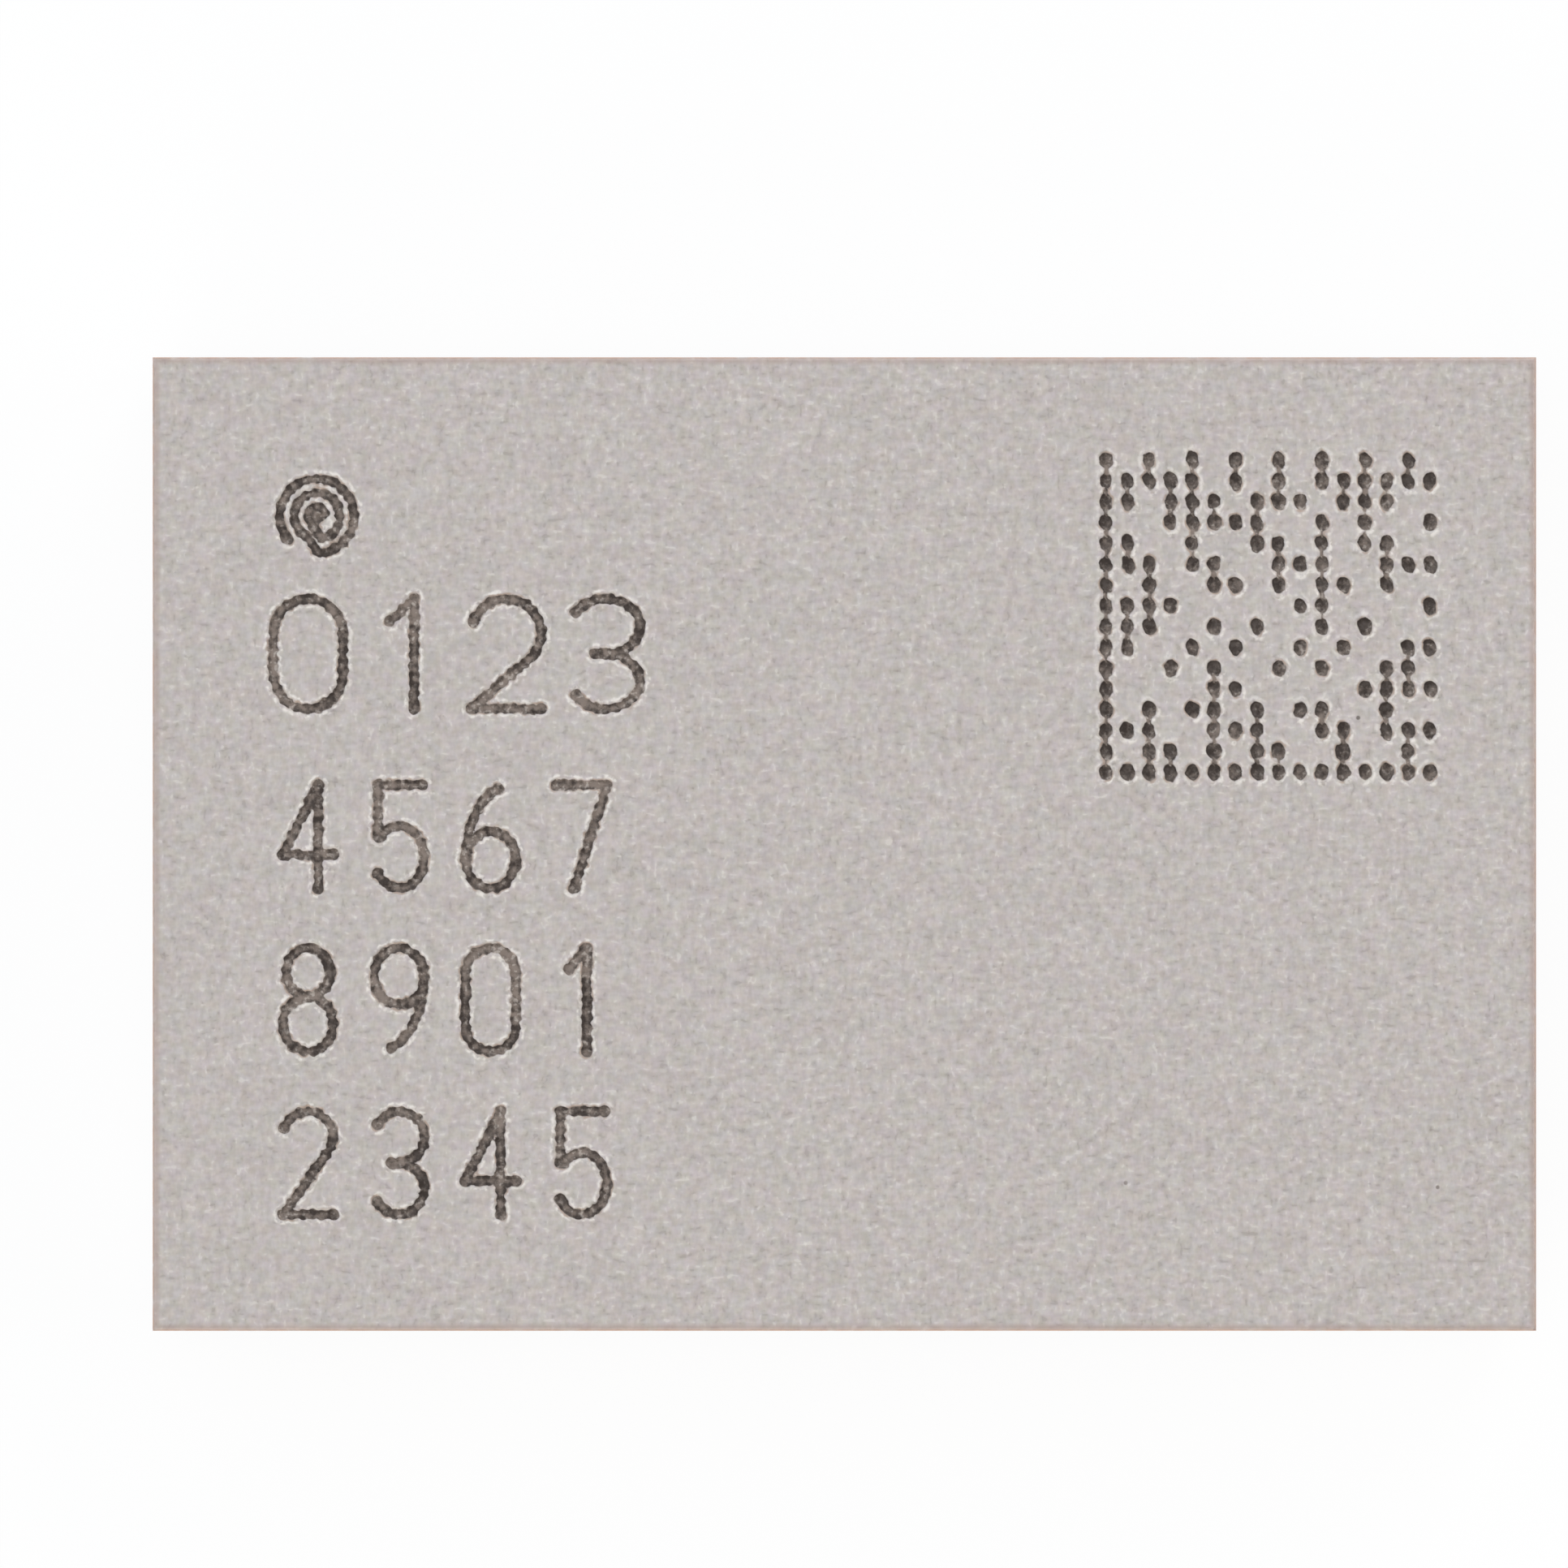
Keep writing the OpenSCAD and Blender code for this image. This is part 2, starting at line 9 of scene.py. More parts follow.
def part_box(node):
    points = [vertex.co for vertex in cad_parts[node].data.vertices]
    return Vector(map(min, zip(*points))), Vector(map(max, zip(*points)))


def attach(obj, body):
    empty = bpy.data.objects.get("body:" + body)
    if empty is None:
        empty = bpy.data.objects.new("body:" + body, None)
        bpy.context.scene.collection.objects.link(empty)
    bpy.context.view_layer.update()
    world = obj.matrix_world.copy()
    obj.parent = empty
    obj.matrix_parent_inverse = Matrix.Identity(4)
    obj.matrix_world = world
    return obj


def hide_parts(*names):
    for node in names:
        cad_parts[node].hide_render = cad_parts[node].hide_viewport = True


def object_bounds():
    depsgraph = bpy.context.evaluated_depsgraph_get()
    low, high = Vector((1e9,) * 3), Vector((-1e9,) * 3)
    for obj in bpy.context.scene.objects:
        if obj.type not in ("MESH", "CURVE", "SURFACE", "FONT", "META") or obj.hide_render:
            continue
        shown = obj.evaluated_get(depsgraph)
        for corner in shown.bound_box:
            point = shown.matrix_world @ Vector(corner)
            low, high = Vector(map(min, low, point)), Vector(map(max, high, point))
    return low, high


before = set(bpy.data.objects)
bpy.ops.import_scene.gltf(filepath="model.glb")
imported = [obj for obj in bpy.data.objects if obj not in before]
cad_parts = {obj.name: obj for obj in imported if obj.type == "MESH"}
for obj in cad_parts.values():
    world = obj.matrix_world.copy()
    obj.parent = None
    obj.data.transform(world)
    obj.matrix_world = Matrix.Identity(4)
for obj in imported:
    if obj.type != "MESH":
        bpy.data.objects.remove(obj)  # the CAD parts, already in place, in metres
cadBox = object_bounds()
mm = 0.001  # lengths below are in mm unless a note says otherwise
sharpTurn = 70  # degrees between two faces, past which the edge between them stays crisp
print("frame loaded:", len(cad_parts), "nodes")


# Shader maths

class Wire:
    # One socket of a material's or the sky's nodes. Sums and products of wires add Math nodes, and
    # node() adds any other node.
    def __init__(self, tree, socket=None):
        self.tree = tree
        self.socket = socket

    def node(self, kind, settings=None, inputs=None, output=0):
        made = self.tree.nodes.new(kind)
        for name, value in (settings or {}).items():
            setattr(made, name, value)
        for name, value in (inputs or {}).items():
            if isinstance(value, Wire):
                self.tree.links.new(value.socket, made.inputs[name])
            else:
                made.inputs[name].default_value = value
        return Wire(self.tree, made.outputs[output] if len(made.outputs) else None)

    def math(self, operation, *values):
        return self.node("ShaderNodeMath", {"operation": operation}, dict(enumerate(values)))

    def __add__(self, other):
        return self.math("ADD", self, other)

    def __radd__(self, other):
        return self.math("ADD", other, self)

    def __sub__(self, other):
        return self.math("SUBTRACT", self, other)

    def __rsub__(self, other):
        return self.math("SUBTRACT", other, self)

    def __mul__(self, other):
        return self.math("MULTIPLY", self, other)

    def __rmul__(self, other):
        return self.math("MULTIPLY", other, self)

    def ease(self, start, end):  # 0 at start and 1 at end, with a soft turn at both
        return self.node("ShaderNodeMapRange", {"interpolation_type": "SMOOTHSTEP"},
                         {0: self, 1: start, 2: end, 3: 0.0, 4: 1.0})

    def near(self, middle, reach):  # 1 at the middle, 0 at the reach on both sides
        return self.math("ABSOLUTE", self - middle).ease(reach, 0.0)

    def stretch(self, x, y, z):  # a place times a number along each axis
        return self.node("ShaderNodeVectorMath", {"operation": "MULTIPLY"}, {0: self, 1: (x, y, z)})

    def along(self, axis):  # one number of a place
        return self.node("ShaderNodeSeparateXYZ", {}, {0: self}, output=axis)

    def noise(self, perMm, detail=2.0, roughness=0.5):  # even noise round 0.5
        return self.node("ShaderNodeTexNoise", {"noise_dimensions": "3D"},
                         {"Vector": self, "Scale": perMm, "Detail": detail, "Roughness": roughness})

    def cells(self, perMm):  # distance to the nearest of scattered points
        return self.node("ShaderNodeTexVoronoi", {}, {"Vector": self, "Scale": perMm})

    def mix(self, first, second):  # this wire's share of the second colour over the first
        return self.node("ShaderNodeMix", {"data_type": "RGBA"}, {0: self, 6: first, 7: second}, output=2)

    def over(self, base, colour, most):  # a colour over a base, by this wire times its most share
        return (most * self).mix(base, colour)


def shade(red, green, blue):  # a screen colour of 0 to 255 as the linear colour that shaders use
    parts = [value / 255 for value in (red, green, blue)]
    return tuple(p / 12.92 if p <= 0.04045 else ((p + 0.055) / 1.055) ** 2.4 for p in parts) + (1.0,)


def emptyTree(owner):  # the nodes of a material or of the sky, cleared, as a wire to build from
    owner.use_nodes = True
    owner.node_tree.nodes.clear()
    return Wire(owner.node_tree)


def newMaterial(name, recipe):  # recipe(start, place) gives the surface shader's inputs
    made = bpy.data.materials.new(name)
    start = emptyTree(made)
    place = start.node("ShaderNodeTexCoord", output="Object").stretch(1 / mm, 1 / mm, 1 / mm)
    surface = start.node("ShaderNodeBsdfPrincipled", {}, recipe(start, place))
    start.node("ShaderNodeOutputMaterial", {}, {"Surface": surface})
    return made


def attributeOf(start, name):  # a number kept at each point of the mesh
    return start.node("ShaderNodeAttribute", {"attribute_name": name}, output="Fac")


def bumped(start, height, size):  # size is the height in mm that 1 stands for
    return start.node("ShaderNodeBump", {}, {"Strength": 1.0, "Distance": size * mm, "Height": height})


# Meshes

def gridFaces(rows, columns, first=0, closed=True):
    # Quads between neighbouring rows of points. Closed joins the last column to the first.
    across = columns if closed else columns - 1
    row, column = np.meshgrid(np.arange(rows - 1), np.arange(across), indexing="ij")
    after = (column + 1) % columns
    quads = np.stack([row * columns + column, row * columns + after,
                      (row + 1) * columns + after, (row + 1) * columns + column], -1)
    return quads.reshape(-1, 4) + first


def newPiece(name, points, faceLists, material, replaced, attributes, bakeMap):
    # Points in mm. Points at one place become one, which keeps the attributes of the last of them.
    merged, order = np.unique(np.round(points, 6), axis=0, return_inverse=True)
    order = order.reshape(-1)
    mesh = bpy.data.meshes.new(name)
    corners = [order[f] for faces in faceLists for f in np.asarray(faces).reshape(len(faces), -1)]
    mesh.from_pydata((merged * mm).tolist(), [], [f.tolist() for f in corners])
    for key, values in attributes.items():
        kept = np.zeros(len(merged), np.float32)
        kept[order] = values
        mesh.attributes.new(key, "FLOAT", "POINT").data.foreach_set("value", kept)
    mesh.uv_layers.new(name="OFBake").data.foreach_set("uv", bakeMap.astype(np.float32).ravel())
    mesh.polygons.foreach_set("use_smooth", np.ones(len(mesh.polygons), bool))
    mesh.set_sharp_from_angle(angle=math.radians(sharpTurn))
    mesh.materials.append(material)
    piece = bpy.data.objects.new(name, mesh)
    bpy.context.scene.collection.objects.link(piece)
    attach(piece, "root")
    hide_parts(*replaced)
    print("piece", name, ":", len(merged), "points,", len(corners), "faces")
    return piece


def easeOf(value, start, end):  # the same soft step as Wire.ease, 3 t^2 - 2 t^3, on arrays
    t = np.clip((value - start) / (end - start), 0, 1)
    return t * t * (3 - 2 * t)


def softNoise(x, y, size, seed):
    # Random values from -1 to 1 at the corners of squares of that size. A place takes a blend of its
    # four corners, by the soft steps of its shares of the square. The pattern repeats after 256 squares.
    count = 256
    u = x / size
    v = y / size
    lattice = np.random.default_rng(seed).uniform(-1, 1, (count, count))
    i = np.floor(u).astype(int)
    j = np.floor(v).astype(int)
    a = easeOf(u - i, 0, 1)
    b = easeOf(v - j, 0, 1)
    i, nextI, j, nextJ = (k % count for k in (i, i + 1, j, j + 1))
    low = lattice[i, j] * (1 - a) + lattice[nextI, j] * a
    high = lattice[i, nextJ] * (1 - a) + lattice[nextI, nextJ] * a
    return low * (1 - b) + high * b


def boxOf(node):  # a CAD node's corners in mm
    low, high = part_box(node)
    return np.array(low) / mm, np.array(high) / mm


def outlineOf(x, y):
    # Points counter-clockwise round the rectangle that two rows of stations span, and for each the way
    # out as -1, 0 or 1 along x and y, both at a corner. Each row of stations is even about zero.
    lower = np.stack([x[:-1], np.full(len(x) - 1, y[0])], -1)
    right = np.stack([np.full(len(y) - 1, x[-1]), y[:-1]], -1)
    points = np.concatenate([lower, right, -lower, -right])
    turn = np.sign(np.where(np.isclose(np.abs(points), (x[-1], y[-1])), points, 0))
    return points, turn


def stationsOf(half, step, corner):  # even stations from -half to half, with one more close to each end
    inner = np.linspace(corner - half, half - corner, int(round(2 * half / step)) + 1)
    return np.concatenate([[-half], inner, [half]])


# Laser marks on the lid

marks = {
    "strokeWidth": 0.052, "digitSize": (0.275, 0.51), "digitPitch": 0.405, "rowPitch": 0.724,
    "headSize": (0.36, 0.54), "headPitch": 0.44, "headDrop": 0.811, "rows": 4, "perRow": 4,
    "digitsInset": (0.69, 0.745),          # first digits, from the left and lower edges
    "spiralRadius": 0.19, "spiralWidth": 0.050, "spiralStep": 0.063,
    "spiralInset": (0.73, 0.705),          # from the left and upper edges
    "dotCount": 16, "dotPitch": (0.0958, 0.0923), "dotRadii": (0.0310, 0.0405), "neckWidth": 0.020,
    "fieldInset": (1.191, 1.148),          # from the right and upper edges
    "dotWander": 0.0015, "dotSpread": 0.07, "dotSlant": (0.06, 0.10), "dotCut": 0.004,
    "pulsePitch": 0.043, "pulseDepth": 0.0024, "pulseDrift": (1.6, 0.11),
    "ragged": 0.0074, "raggedSizes": (0.024, 0.013), "thinner": 0.0030, "startRadius": 0.0275,
    "patchSizes": (0.034, 0.018, 0.17), "crossingReach": 0.02,
    "rimPlace": 0.62, "rimReach": (0.012, 0.002),   # share of half the width, then mm from there
    # How dark each is burnt: its level, then what pulses, patches, rims and crossings add or take
    "strokeBurn": (0.39, 0.10, 0.46, 0.28, 0.22), "startBurn": (0.50, 0.35), "neckBurn": (0.30, 0.3),
    "dotBurn": (0.78, 0.10, 0.24, 0.16),   # level, by dot, by patches, and painted shade: darker at the upper left, lighter at the lower right
    "depth": 0.0095,                       # and shares of it: strokes and their pulses, pits, necks
    "strokeDepth": (0.85, 0.15), "pitDepth": 1.1, "neckDepth": 0.55,
    "wall": 0.012, "ridge": 0.0026, "ridgePlace": 0.008, "ridgeReach": 0.012,
    "ridgeNoise": (0.5, 0.02), "floorNoise": (0.0016, 0.012),   # strength and size
}


def arc(middle, radii, start, end):
    # Points of an ellipse: the middle plus the radii times the cosine and sine of an angle in degrees.
    step = 9  # degrees
    count = int(math.ceil(abs(end - start) / step)) + 1
    turn = np.radians(np.linspace(start, end, count))
    return np.stack([middle[0] + radii[0] * np.cos(turn), middle[1] + radii[1] * np.sin(turn)], -1)


def loop(middle, radii, straight=0.0):  # two half ellipses, apart by the straight sides
    upper = arc((middle[0], middle[1] + straight), radii, 0, 180)
    lower = arc((middle[0], middle[1] - straight), radii, 180, 360)
    return np.concatenate([upper, lower, upper[:1]])


def digitPaths(digit, a, b):  # the strokes of a digit in a box from (-a, -b) to (a, b)
    shapes = {
        0: [loop((0, 0), (a, a), b - a)],
        1: [[(-0.5 * a, 0.6 * b), (0.2 * a, b)], [(0.2 * a, b), (0.2 * a, -b)]],
        2: [[*arc((0, b - a), (a, a), 160, -40), (-a, -b)], [(-a, -b), (a, -b)]],
        3: [[*arc((0, b / 2), (a, b / 2), 150, -90), (-0.3 * a, 0)],
            arc((0, -b / 2), (a, b / 2), 90, -150)],
        4: [[(0.4 * a, b), (-a, -0.35 * b)], [(-a, -0.35 * b), (a, -0.35 * b)],
            [(0.4 * a, b), (0.4 * a, -b)]],
        5: [[(0.9 * a, b), (-0.85 * a, b)], [(-0.85 * a, b), (-0.85 * a, 0)],
            arc((0, -0.4 * b), (a, 0.6 * b), 138, -150)],
        6: [arc((0.9 * a, -0.45 * b), (1.9 * a, 1.45 * b), 108, 180), loop((0, -0.45 * b), (a, 0.55 * b))],
        7: [[(-a, b), (a, b)], [(a, b), (-0.3 * a, -b)]],
        8: [loop((0, 0.53 * b), (0.88 * a, 0.47 * b)), loop((0, -0.47 * b), (a, 0.53 * b))],
        9: [arc((-0.9 * a, 0.45 * b), (1.9 * a, 1.45 * b), -72, 0), loop((0, 0.45 * b), (a, 0.55 * b))],
    }
    return [np.array(path, float) for path in shapes[digit]]


def digitStrokes(low):
    # Rows of running digits, the head row larger: each digit's paths, moved to its place.
    half = marks["strokeWidth"] / 2
    left, bottom = marks["digitsInset"]
    strokes = []
    for row in range(marks["rows"]):
        kind = "head" if row == 0 else "digit"
        size = marks[kind + "Size"]
        pitch = marks[kind + "Pitch"]
        drop = marks["headDrop"] if row == 0 else marks["rowPitch"]  # to the row below
        up = (marks["rows"] - 2 - row) * marks["rowPitch"] + drop
        for place in range(marks["perRow"]):
            middle = (low[0] + left + place * pitch, low[1] + bottom + up)
            digit = (marks["perRow"] * row + place) % 10
            for path in digitPaths(digit, size[0] / 2 - half, size[1] / 2 - half):
                strokes.append((path + middle, half))
    return strokes


def spiralStroke(low, high):
    # Arcs of ever smaller circles, from the outermost inwards, joined by slanted steps.
    centre = (low[0] + marks["spiralInset"][0], high[1] - marks["spiralInset"][1])
    outer = marks["spiralRadius"] - marks["spiralWidth"] / 2
    inner = outer - marks["spiralStep"]
    core = inner - marks["spiralStep"]
    turns = [arc(centre, (outer, outer), 218, -86), arc(centre, (inner, inner), -122, -440),
             arc(centre, (core, core), -490, -700), arc(centre, (core / 3, core / 3), -760, -1080)]
    return np.concatenate(turns), marks["spiralWidth"] / 2


def inField(i, j):  # full left column and lower row, broken upper row and right column, scattered inside
    last = marks["dotCount"] - 1
    if i == 0 or j == 0:
        return True
    if j == last:
        return i % 2 == 0
    if i == last:
        return j % 2 == 0
    return (7 * i * i + 5 * j * j + 3 * i * j + 13 * i + 11 * j) % 17 % 2 == 0


def alongPath(x, y, path):
    # Distance from each point to a path of straight steps, and how far along it the nearest place is:
    # the point's share of each step is kept between 0 and 1, and the step with the least distance wins.
    start = path[:-1]
    step = path[1:] - start
    length = np.maximum(np.hypot(step[:, 0], step[:, 1]), 1e-9)
    begun = np.concatenate([[0], np.cumsum(length)[:-1]])
    dx = x[..., None] - start[:, 0]
    dy = y[..., None] - start[:, 1]
    share = np.clip((dx * step[:, 0] + dy * step[:, 1]) / length ** 2, 0, 1)
    away = np.hypot(dx - share * step[:, 0], dy - share * step[:, 1])
    nearest = away.argmin(-1)[..., None]
    travelled = np.take_along_axis(begun + share * length, nearest, -1)[..., 0]
    return np.take_along_axis(away, nearest, -1)[..., 0], travelled


class MarkSheet:
    # A lattice of points on the lid. Each keeps its distance outside the nearest mark's edge, which is
    # below 0 within the mark, how dark that mark is burnt there, with painted shade on the dots, and what
    # share of the depth it has.
    def __init__(self, x, y):
        self.x = x
        self.y = y
        self.edge = np.full(x.shape, 1.0)
        self.burn = np.zeros(x.shape)
        self.deep = np.ones(x.shape)
        coarse, fine = marks["raggedSizes"]
        self.ragged = marks["ragged"] * (0.7 * softNoise(x, y, coarse, 3) + 0.5 * softNoise(x, y, fine, 4))
        middling, small, wide = marks["patchSizes"]
        self.patches = 0.5 * softNoise(x, y, middling, 5) + 0.5 * softNoise(x, y, small, 6)
        self.patches += 0.6 * softNoise(x, y, wide, 10)

    def window(self, low, high):  # the part of the lattice round a mark
        reach = 0.08
        columns = np.searchsorted(self.x[0], [low[0] - reach, high[0] + reach])
        rows = np.searchsorted(self.y[:, 0], [low[1] - reach, high[1] + reach])
        return slice(*rows), slice(*columns)

    def lay(self, part, distance, burn, depth):  # a mark goes over what is there, where it is nearer
        over = distance < self.edge[part]
        self.burn[part] = np.where(over, burn, self.burn[part])
        self.deep[part] = np.where(over, depth, self.deep[part])
        self.edge[part] = np.minimum(distance, self.edge[part])


def layStroke(sheet, number, path, half):
    # The edge is half the width away from the path, swung by pulses (a cosine of the way travelled,
    # which drifts) and by noise. A stroke is darker along both sides and paler over another, and it
    # has a round pit at each end.
    part = sheet.window(path.min(0), path.max(0))
    away, travelled = alongPath(sheet.x[part], sheet.y[part], path)
    swing, driftSize = marks["pulseDrift"]
    drift = swing * softNoise(travelled, 0 * travelled + number, driftSize, 12)
    pulse = np.cos(2 * math.pi * travelled / marks["pulsePitch"] + number + drift)
    crossing = easeOf(sheet.edge[part], 0.0, -marks["crossingReach"])
    rim = easeOf(np.abs(away - marks["rimPlace"] * half), *marks["rimReach"])
    level, byPulse, byPatch, byRim, byCrossing = marks["strokeBurn"]
    burn = level + byPulse * pulse + byPatch * sheet.patches[part] + byRim * rim - byCrossing * crossing
    distance = away - half + marks["thinner"] - marks["pulseDepth"] * pulse + sheet.ragged[part]
    depth, depthByPulse = marks["strokeDepth"]
    sheet.lay(part, distance, burn, depth + depthByPulse * pulse)
    level, byPatch = marks["startBurn"]
    for end in (path[0], path[-1]):
        distance = np.hypot(sheet.x[part] - end[0], sheet.y[part] - end[1]) - marks["startRadius"]
        sheet.lay(part, distance + 0.6 * sheet.ragged[part], level + byPatch * sheet.patches[part],
                  marks["pitDepth"])


def layDots(sheet, high):
    # Each dot is a slanted ellipse, cut back a little above and swung by noise, at its place of the
    # field's grid. A short straight neck joins it to a dot right above it. Its burn carries painted shade:
    # darker at the upper left and lighter at the lower right, as the pit's walls are lit.
    count = marks["dotCount"]
    stepX, stepY = marks["dotPitch"]
    middle = (high[0] - marks["fieldInset"][0], high[1] - marks["fieldInset"][1])
    chance = np.random.default_rng(11).uniform(-1, 1, (count, count, 5))
    for i, j in np.ndindex(count, count):
        if not inField(i, j):
            continue
        wander = chance[i, j]
        centreX = middle[0] + (i - (count - 1) / 2) * stepX + marks["dotWander"] * wander[0]
        centreY = middle[1] + (j - (count - 1) / 2) * stepY + marks["dotWander"] * wander[1]
        part = sheet.window((centreX, centreY), (centreX, centreY))
        dx = sheet.x[part] - centreX
        dy = sheet.y[part] - centreY
        radiusX, radiusY = np.array(marks["dotRadii"]) * (1 + marks["dotSpread"] * wander[2:4])
        slant = dx + (marks["dotSlant"][0] + marks["dotSlant"][1] * wander[4]) * dy
        cut = marks["dotCut"] * easeOf(dy, 0.5 * radiusY, 1.2 * radiusY)
        distance = (np.hypot(slant / radiusX, dy / radiusY) - 1) * radiusX + cut
        level, byDot, byPatch, byPaintedShade = marks["dotBurn"]
        # Painted shade: the burn grows towards the dot's upper left and falls towards its lower right
        burn = level + byDot * wander[4] + byPatch * sheet.patches[part] - byPaintedShade * ((dx - dy) / radiusX)
        sheet.lay(part, distance + 0.8 * sheet.ragged[part], burn, marks["pitDepth"])
        if j + 1 < count and inField(i, j + 1):
            neck = np.maximum(np.abs(dx), np.abs(dy - stepY / 2) - marks["neckWidth"])
            level, byPatch = marks["neckBurn"]
            sheet.lay(part, neck - marks["neckWidth"] / 2 + sheet.ragged[part],
                      level + byPatch * sheet.patches[part], marks["neckDepth"])


def markedSheet(x, y, low, high):  # the lattice with every mark laid on it
    sheet = MarkSheet(x, y)
    for number, (path, half) in enumerate(digitStrokes(low) + [spiralStroke(low, high)]):
        layStroke(sheet, number, path, half)
    layDots(sheet, high)
    return sheet


# Shield film

film = {
    "fineStep": 0.0084, "openStep": 0.09, "fineReach": 0.030, "fineBlend": 0.006,
    "plainBorder": (0.35, 0.25),           # free of marks: left and lower edges, right and upper edges
    "edgeRadius": 0.016, "flatRim": 0.004, "cornerStep": 0.006, "bendSteps": 5, "sideRows": 16,
    "sideRipple": 0.0012, "rippleSize": 0.05, "lowerChamfer": (0.003, 0.004),
    "light": (198, 190, 186), "dark": (182, 174, 169), "pinkSwing": 2.2, "warmSwing": 3.4,
    # What lies over the grain: colour and most share of each
    # The bright and dark flecks are painted glitter: painted glints and painted shade
    "glintFleck": (shade(228, 224, 217), 0.28), "darkFleck": (shade(150, 141, 135), 0.32),
    "spot": (shade(96, 86, 78), 0.8), "fringe": (shade(160, 136, 118), 0.75),
    # The halo is a painted highlight of the ridge round the marks, and the glint a painted glint in the
    # grooves
    "haloHighlight": (shade(234, 228, 221), 0.85), "glint": (shade(184, 175, 167), 0.7),
    "burnt": shade(50, 40, 35), "scorched": shade(134, 121, 112), "rim": shade(172, 149, 140),
    "copper": shade(132, 88, 62), "wornEdge": shade(184, 146, 122), "sawShare": 0.35, "bandShare": 0.22,
    # Distance outside a mark's edge and reach to both sides, and where the groove begins and is full
    "haloHighlightPlace": (0.011, 0.014), "fringePlace": (0.002, 0.007), "grooveEdge": (0.0020, -0.0035),
    "rimReach": (0.042, 0.014), "copperReach": (0.022, 0.002),   # from the package's edge, begun and full
    "grain": (23, 25), "grainStretch": 1.8, "patch": (13, 19), "spots": 2.6,   # to a mm
    "roughness": 0.52, "metallic": 0.35, "relief": 0.0015,
}


def metalTone(start, place, lying, standing):
    # A light and a dark tone by the grain. Patches turn half of it rosy or greenish and half of it
    # creamy or bluish. The grain's extremes are bright and dark flecks, painted glitter: painted glints
    # and painted shade of grains turned from the light. Dark spots are scattered.
    tone = (0.5 * (lying + standing)).ease(0.34, 0.66)

    def tinted(*turn):  # the dark and the light tone with a small turn of red, green and blue
        return tone.mix(*(shade(*(a + b for a, b in zip(film[key], turn))) for key in ("dark", "light")))

    pink = film["pinkSwing"]
    warm = film["warmSwing"] / 2
    rosy, creamy = (place.noise(perMm, 4.0, 0.7).ease(0.35, 0.65) for perMm in film["patch"])
    rosy = rosy.mix(tinted(pink, -pink, 0), tinted(-pink, pink, 0))
    creamy = creamy.mix(tinted(warm, warm, -3 * warm), tinted(-warm, -warm, 3 * warm))
    base = start.node("ShaderNodeMix", {"data_type": "RGBA"}, {0: 0.5, 6: rosy, 7: creamy}, output=2)
    # Painted glitter: bright flecks as painted glints, dark flecks as painted shade
    bright = lying.ease(0.66, 0.74) + standing.ease(0.67, 0.75)
    dark = lying.ease(0.33, 0.26) + standing.ease(0.32, 0.25)
    base = bright.over(base, *film["glintFleck"])
    base = dark.over(base, *film["darkFleck"])
    spot = place.cells(film["spots"]).ease(0.032, 0.016) * place.noise(1.9, 1.0).ease(0.50, 0.58)
    return spot.over(base, *film["spot"])


def markedTone(place, edge, burn, base):
    # By the distance outside a mark's edge: a broken bright halo, a painted highlight of the ridge round
    # the mark, weaker where the mark is dark, then a broken brown fringe, then the groove, which goes from
    # scorched to burnt, with painted shade on the dots, and has painted glints where it's pale.
    haloHighlight = edge.near(*film["haloHighlightPlace"]) * place.noise(30, 2.0).ease(0.42, 0.62)
    haloHighlight = haloHighlight * (1 - 0.5 * burn.ease(0.45, 0.75))
    base = haloHighlight.over(base, *film["haloHighlight"])
    fringe = edge.near(*film["fringePlace"]) * place.noise(16, 2.0).ease(0.45, 0.65)
    base = fringe.over(base, *film["fringe"])
    dusky = (burn + 1.6 * (place.noise(38, 3.0, 0.6) - 0.5)).ease(0.0, 1.0)
    groove = dusky.mix(film["scorched"], film["burnt"])
    glint = place.noise(48, 1.0).ease(0.55, 0.68) * (1 - dusky)
    groove = glint.over(groove, *film["glint"])
    return edge.ease(*film["grooveEdge"]).mix(base, groove)


def sidedTone(place, height, edge, side, sawn, base):
    # By the place on the package: a pale brown rim on the lid, upright saw marks on the sides, a duller
    # band at the laminate, a worn upper edge and a copper lower rim.
    low, high = boxOf("shield_film")
    begun, full = film["rimReach"]
    endRim, sideRim = (place.math("ABSOLUTE", place.along(k)).ease(high[k] - begun, high[k] - full)
                       for k in (0, 1))
    rim = endRim.math("MAXIMUM", endRim, sideRim) * height.ease(high[2] - 0.020, high[2] - 0.008)
    base = (rim * (0.2 + 0.6 * place.noise(12, 2.0))).mix(base, film["rim"])
    dull = film["darkFleck"][0]
    base = (film["sawShare"] * side * sawn).mix(base, dull)
    bandLow, bandHigh = (corner[2] for corner in boxOf("laminate"))
    band = height.near((bandLow + bandHigh) / 2, (bandHigh - bandLow) / 2 + 0.02).ease(0.0, 0.2)
    base = (film["bandShare"] * band * (0.5 + sawn)).mix(base, dull)
    worn = height.near(high[2] - 0.010, 0.009) * place.noise(12, 3.0).ease(0.30, 0.55)
    base = (worn * edge.ease(0.03, 0.06)).mix(base, film["wornEdge"])
    begun, full = film["copperReach"]
    return height.ease(low[2] + begun, low[2] + full).mix(base, film["copper"])


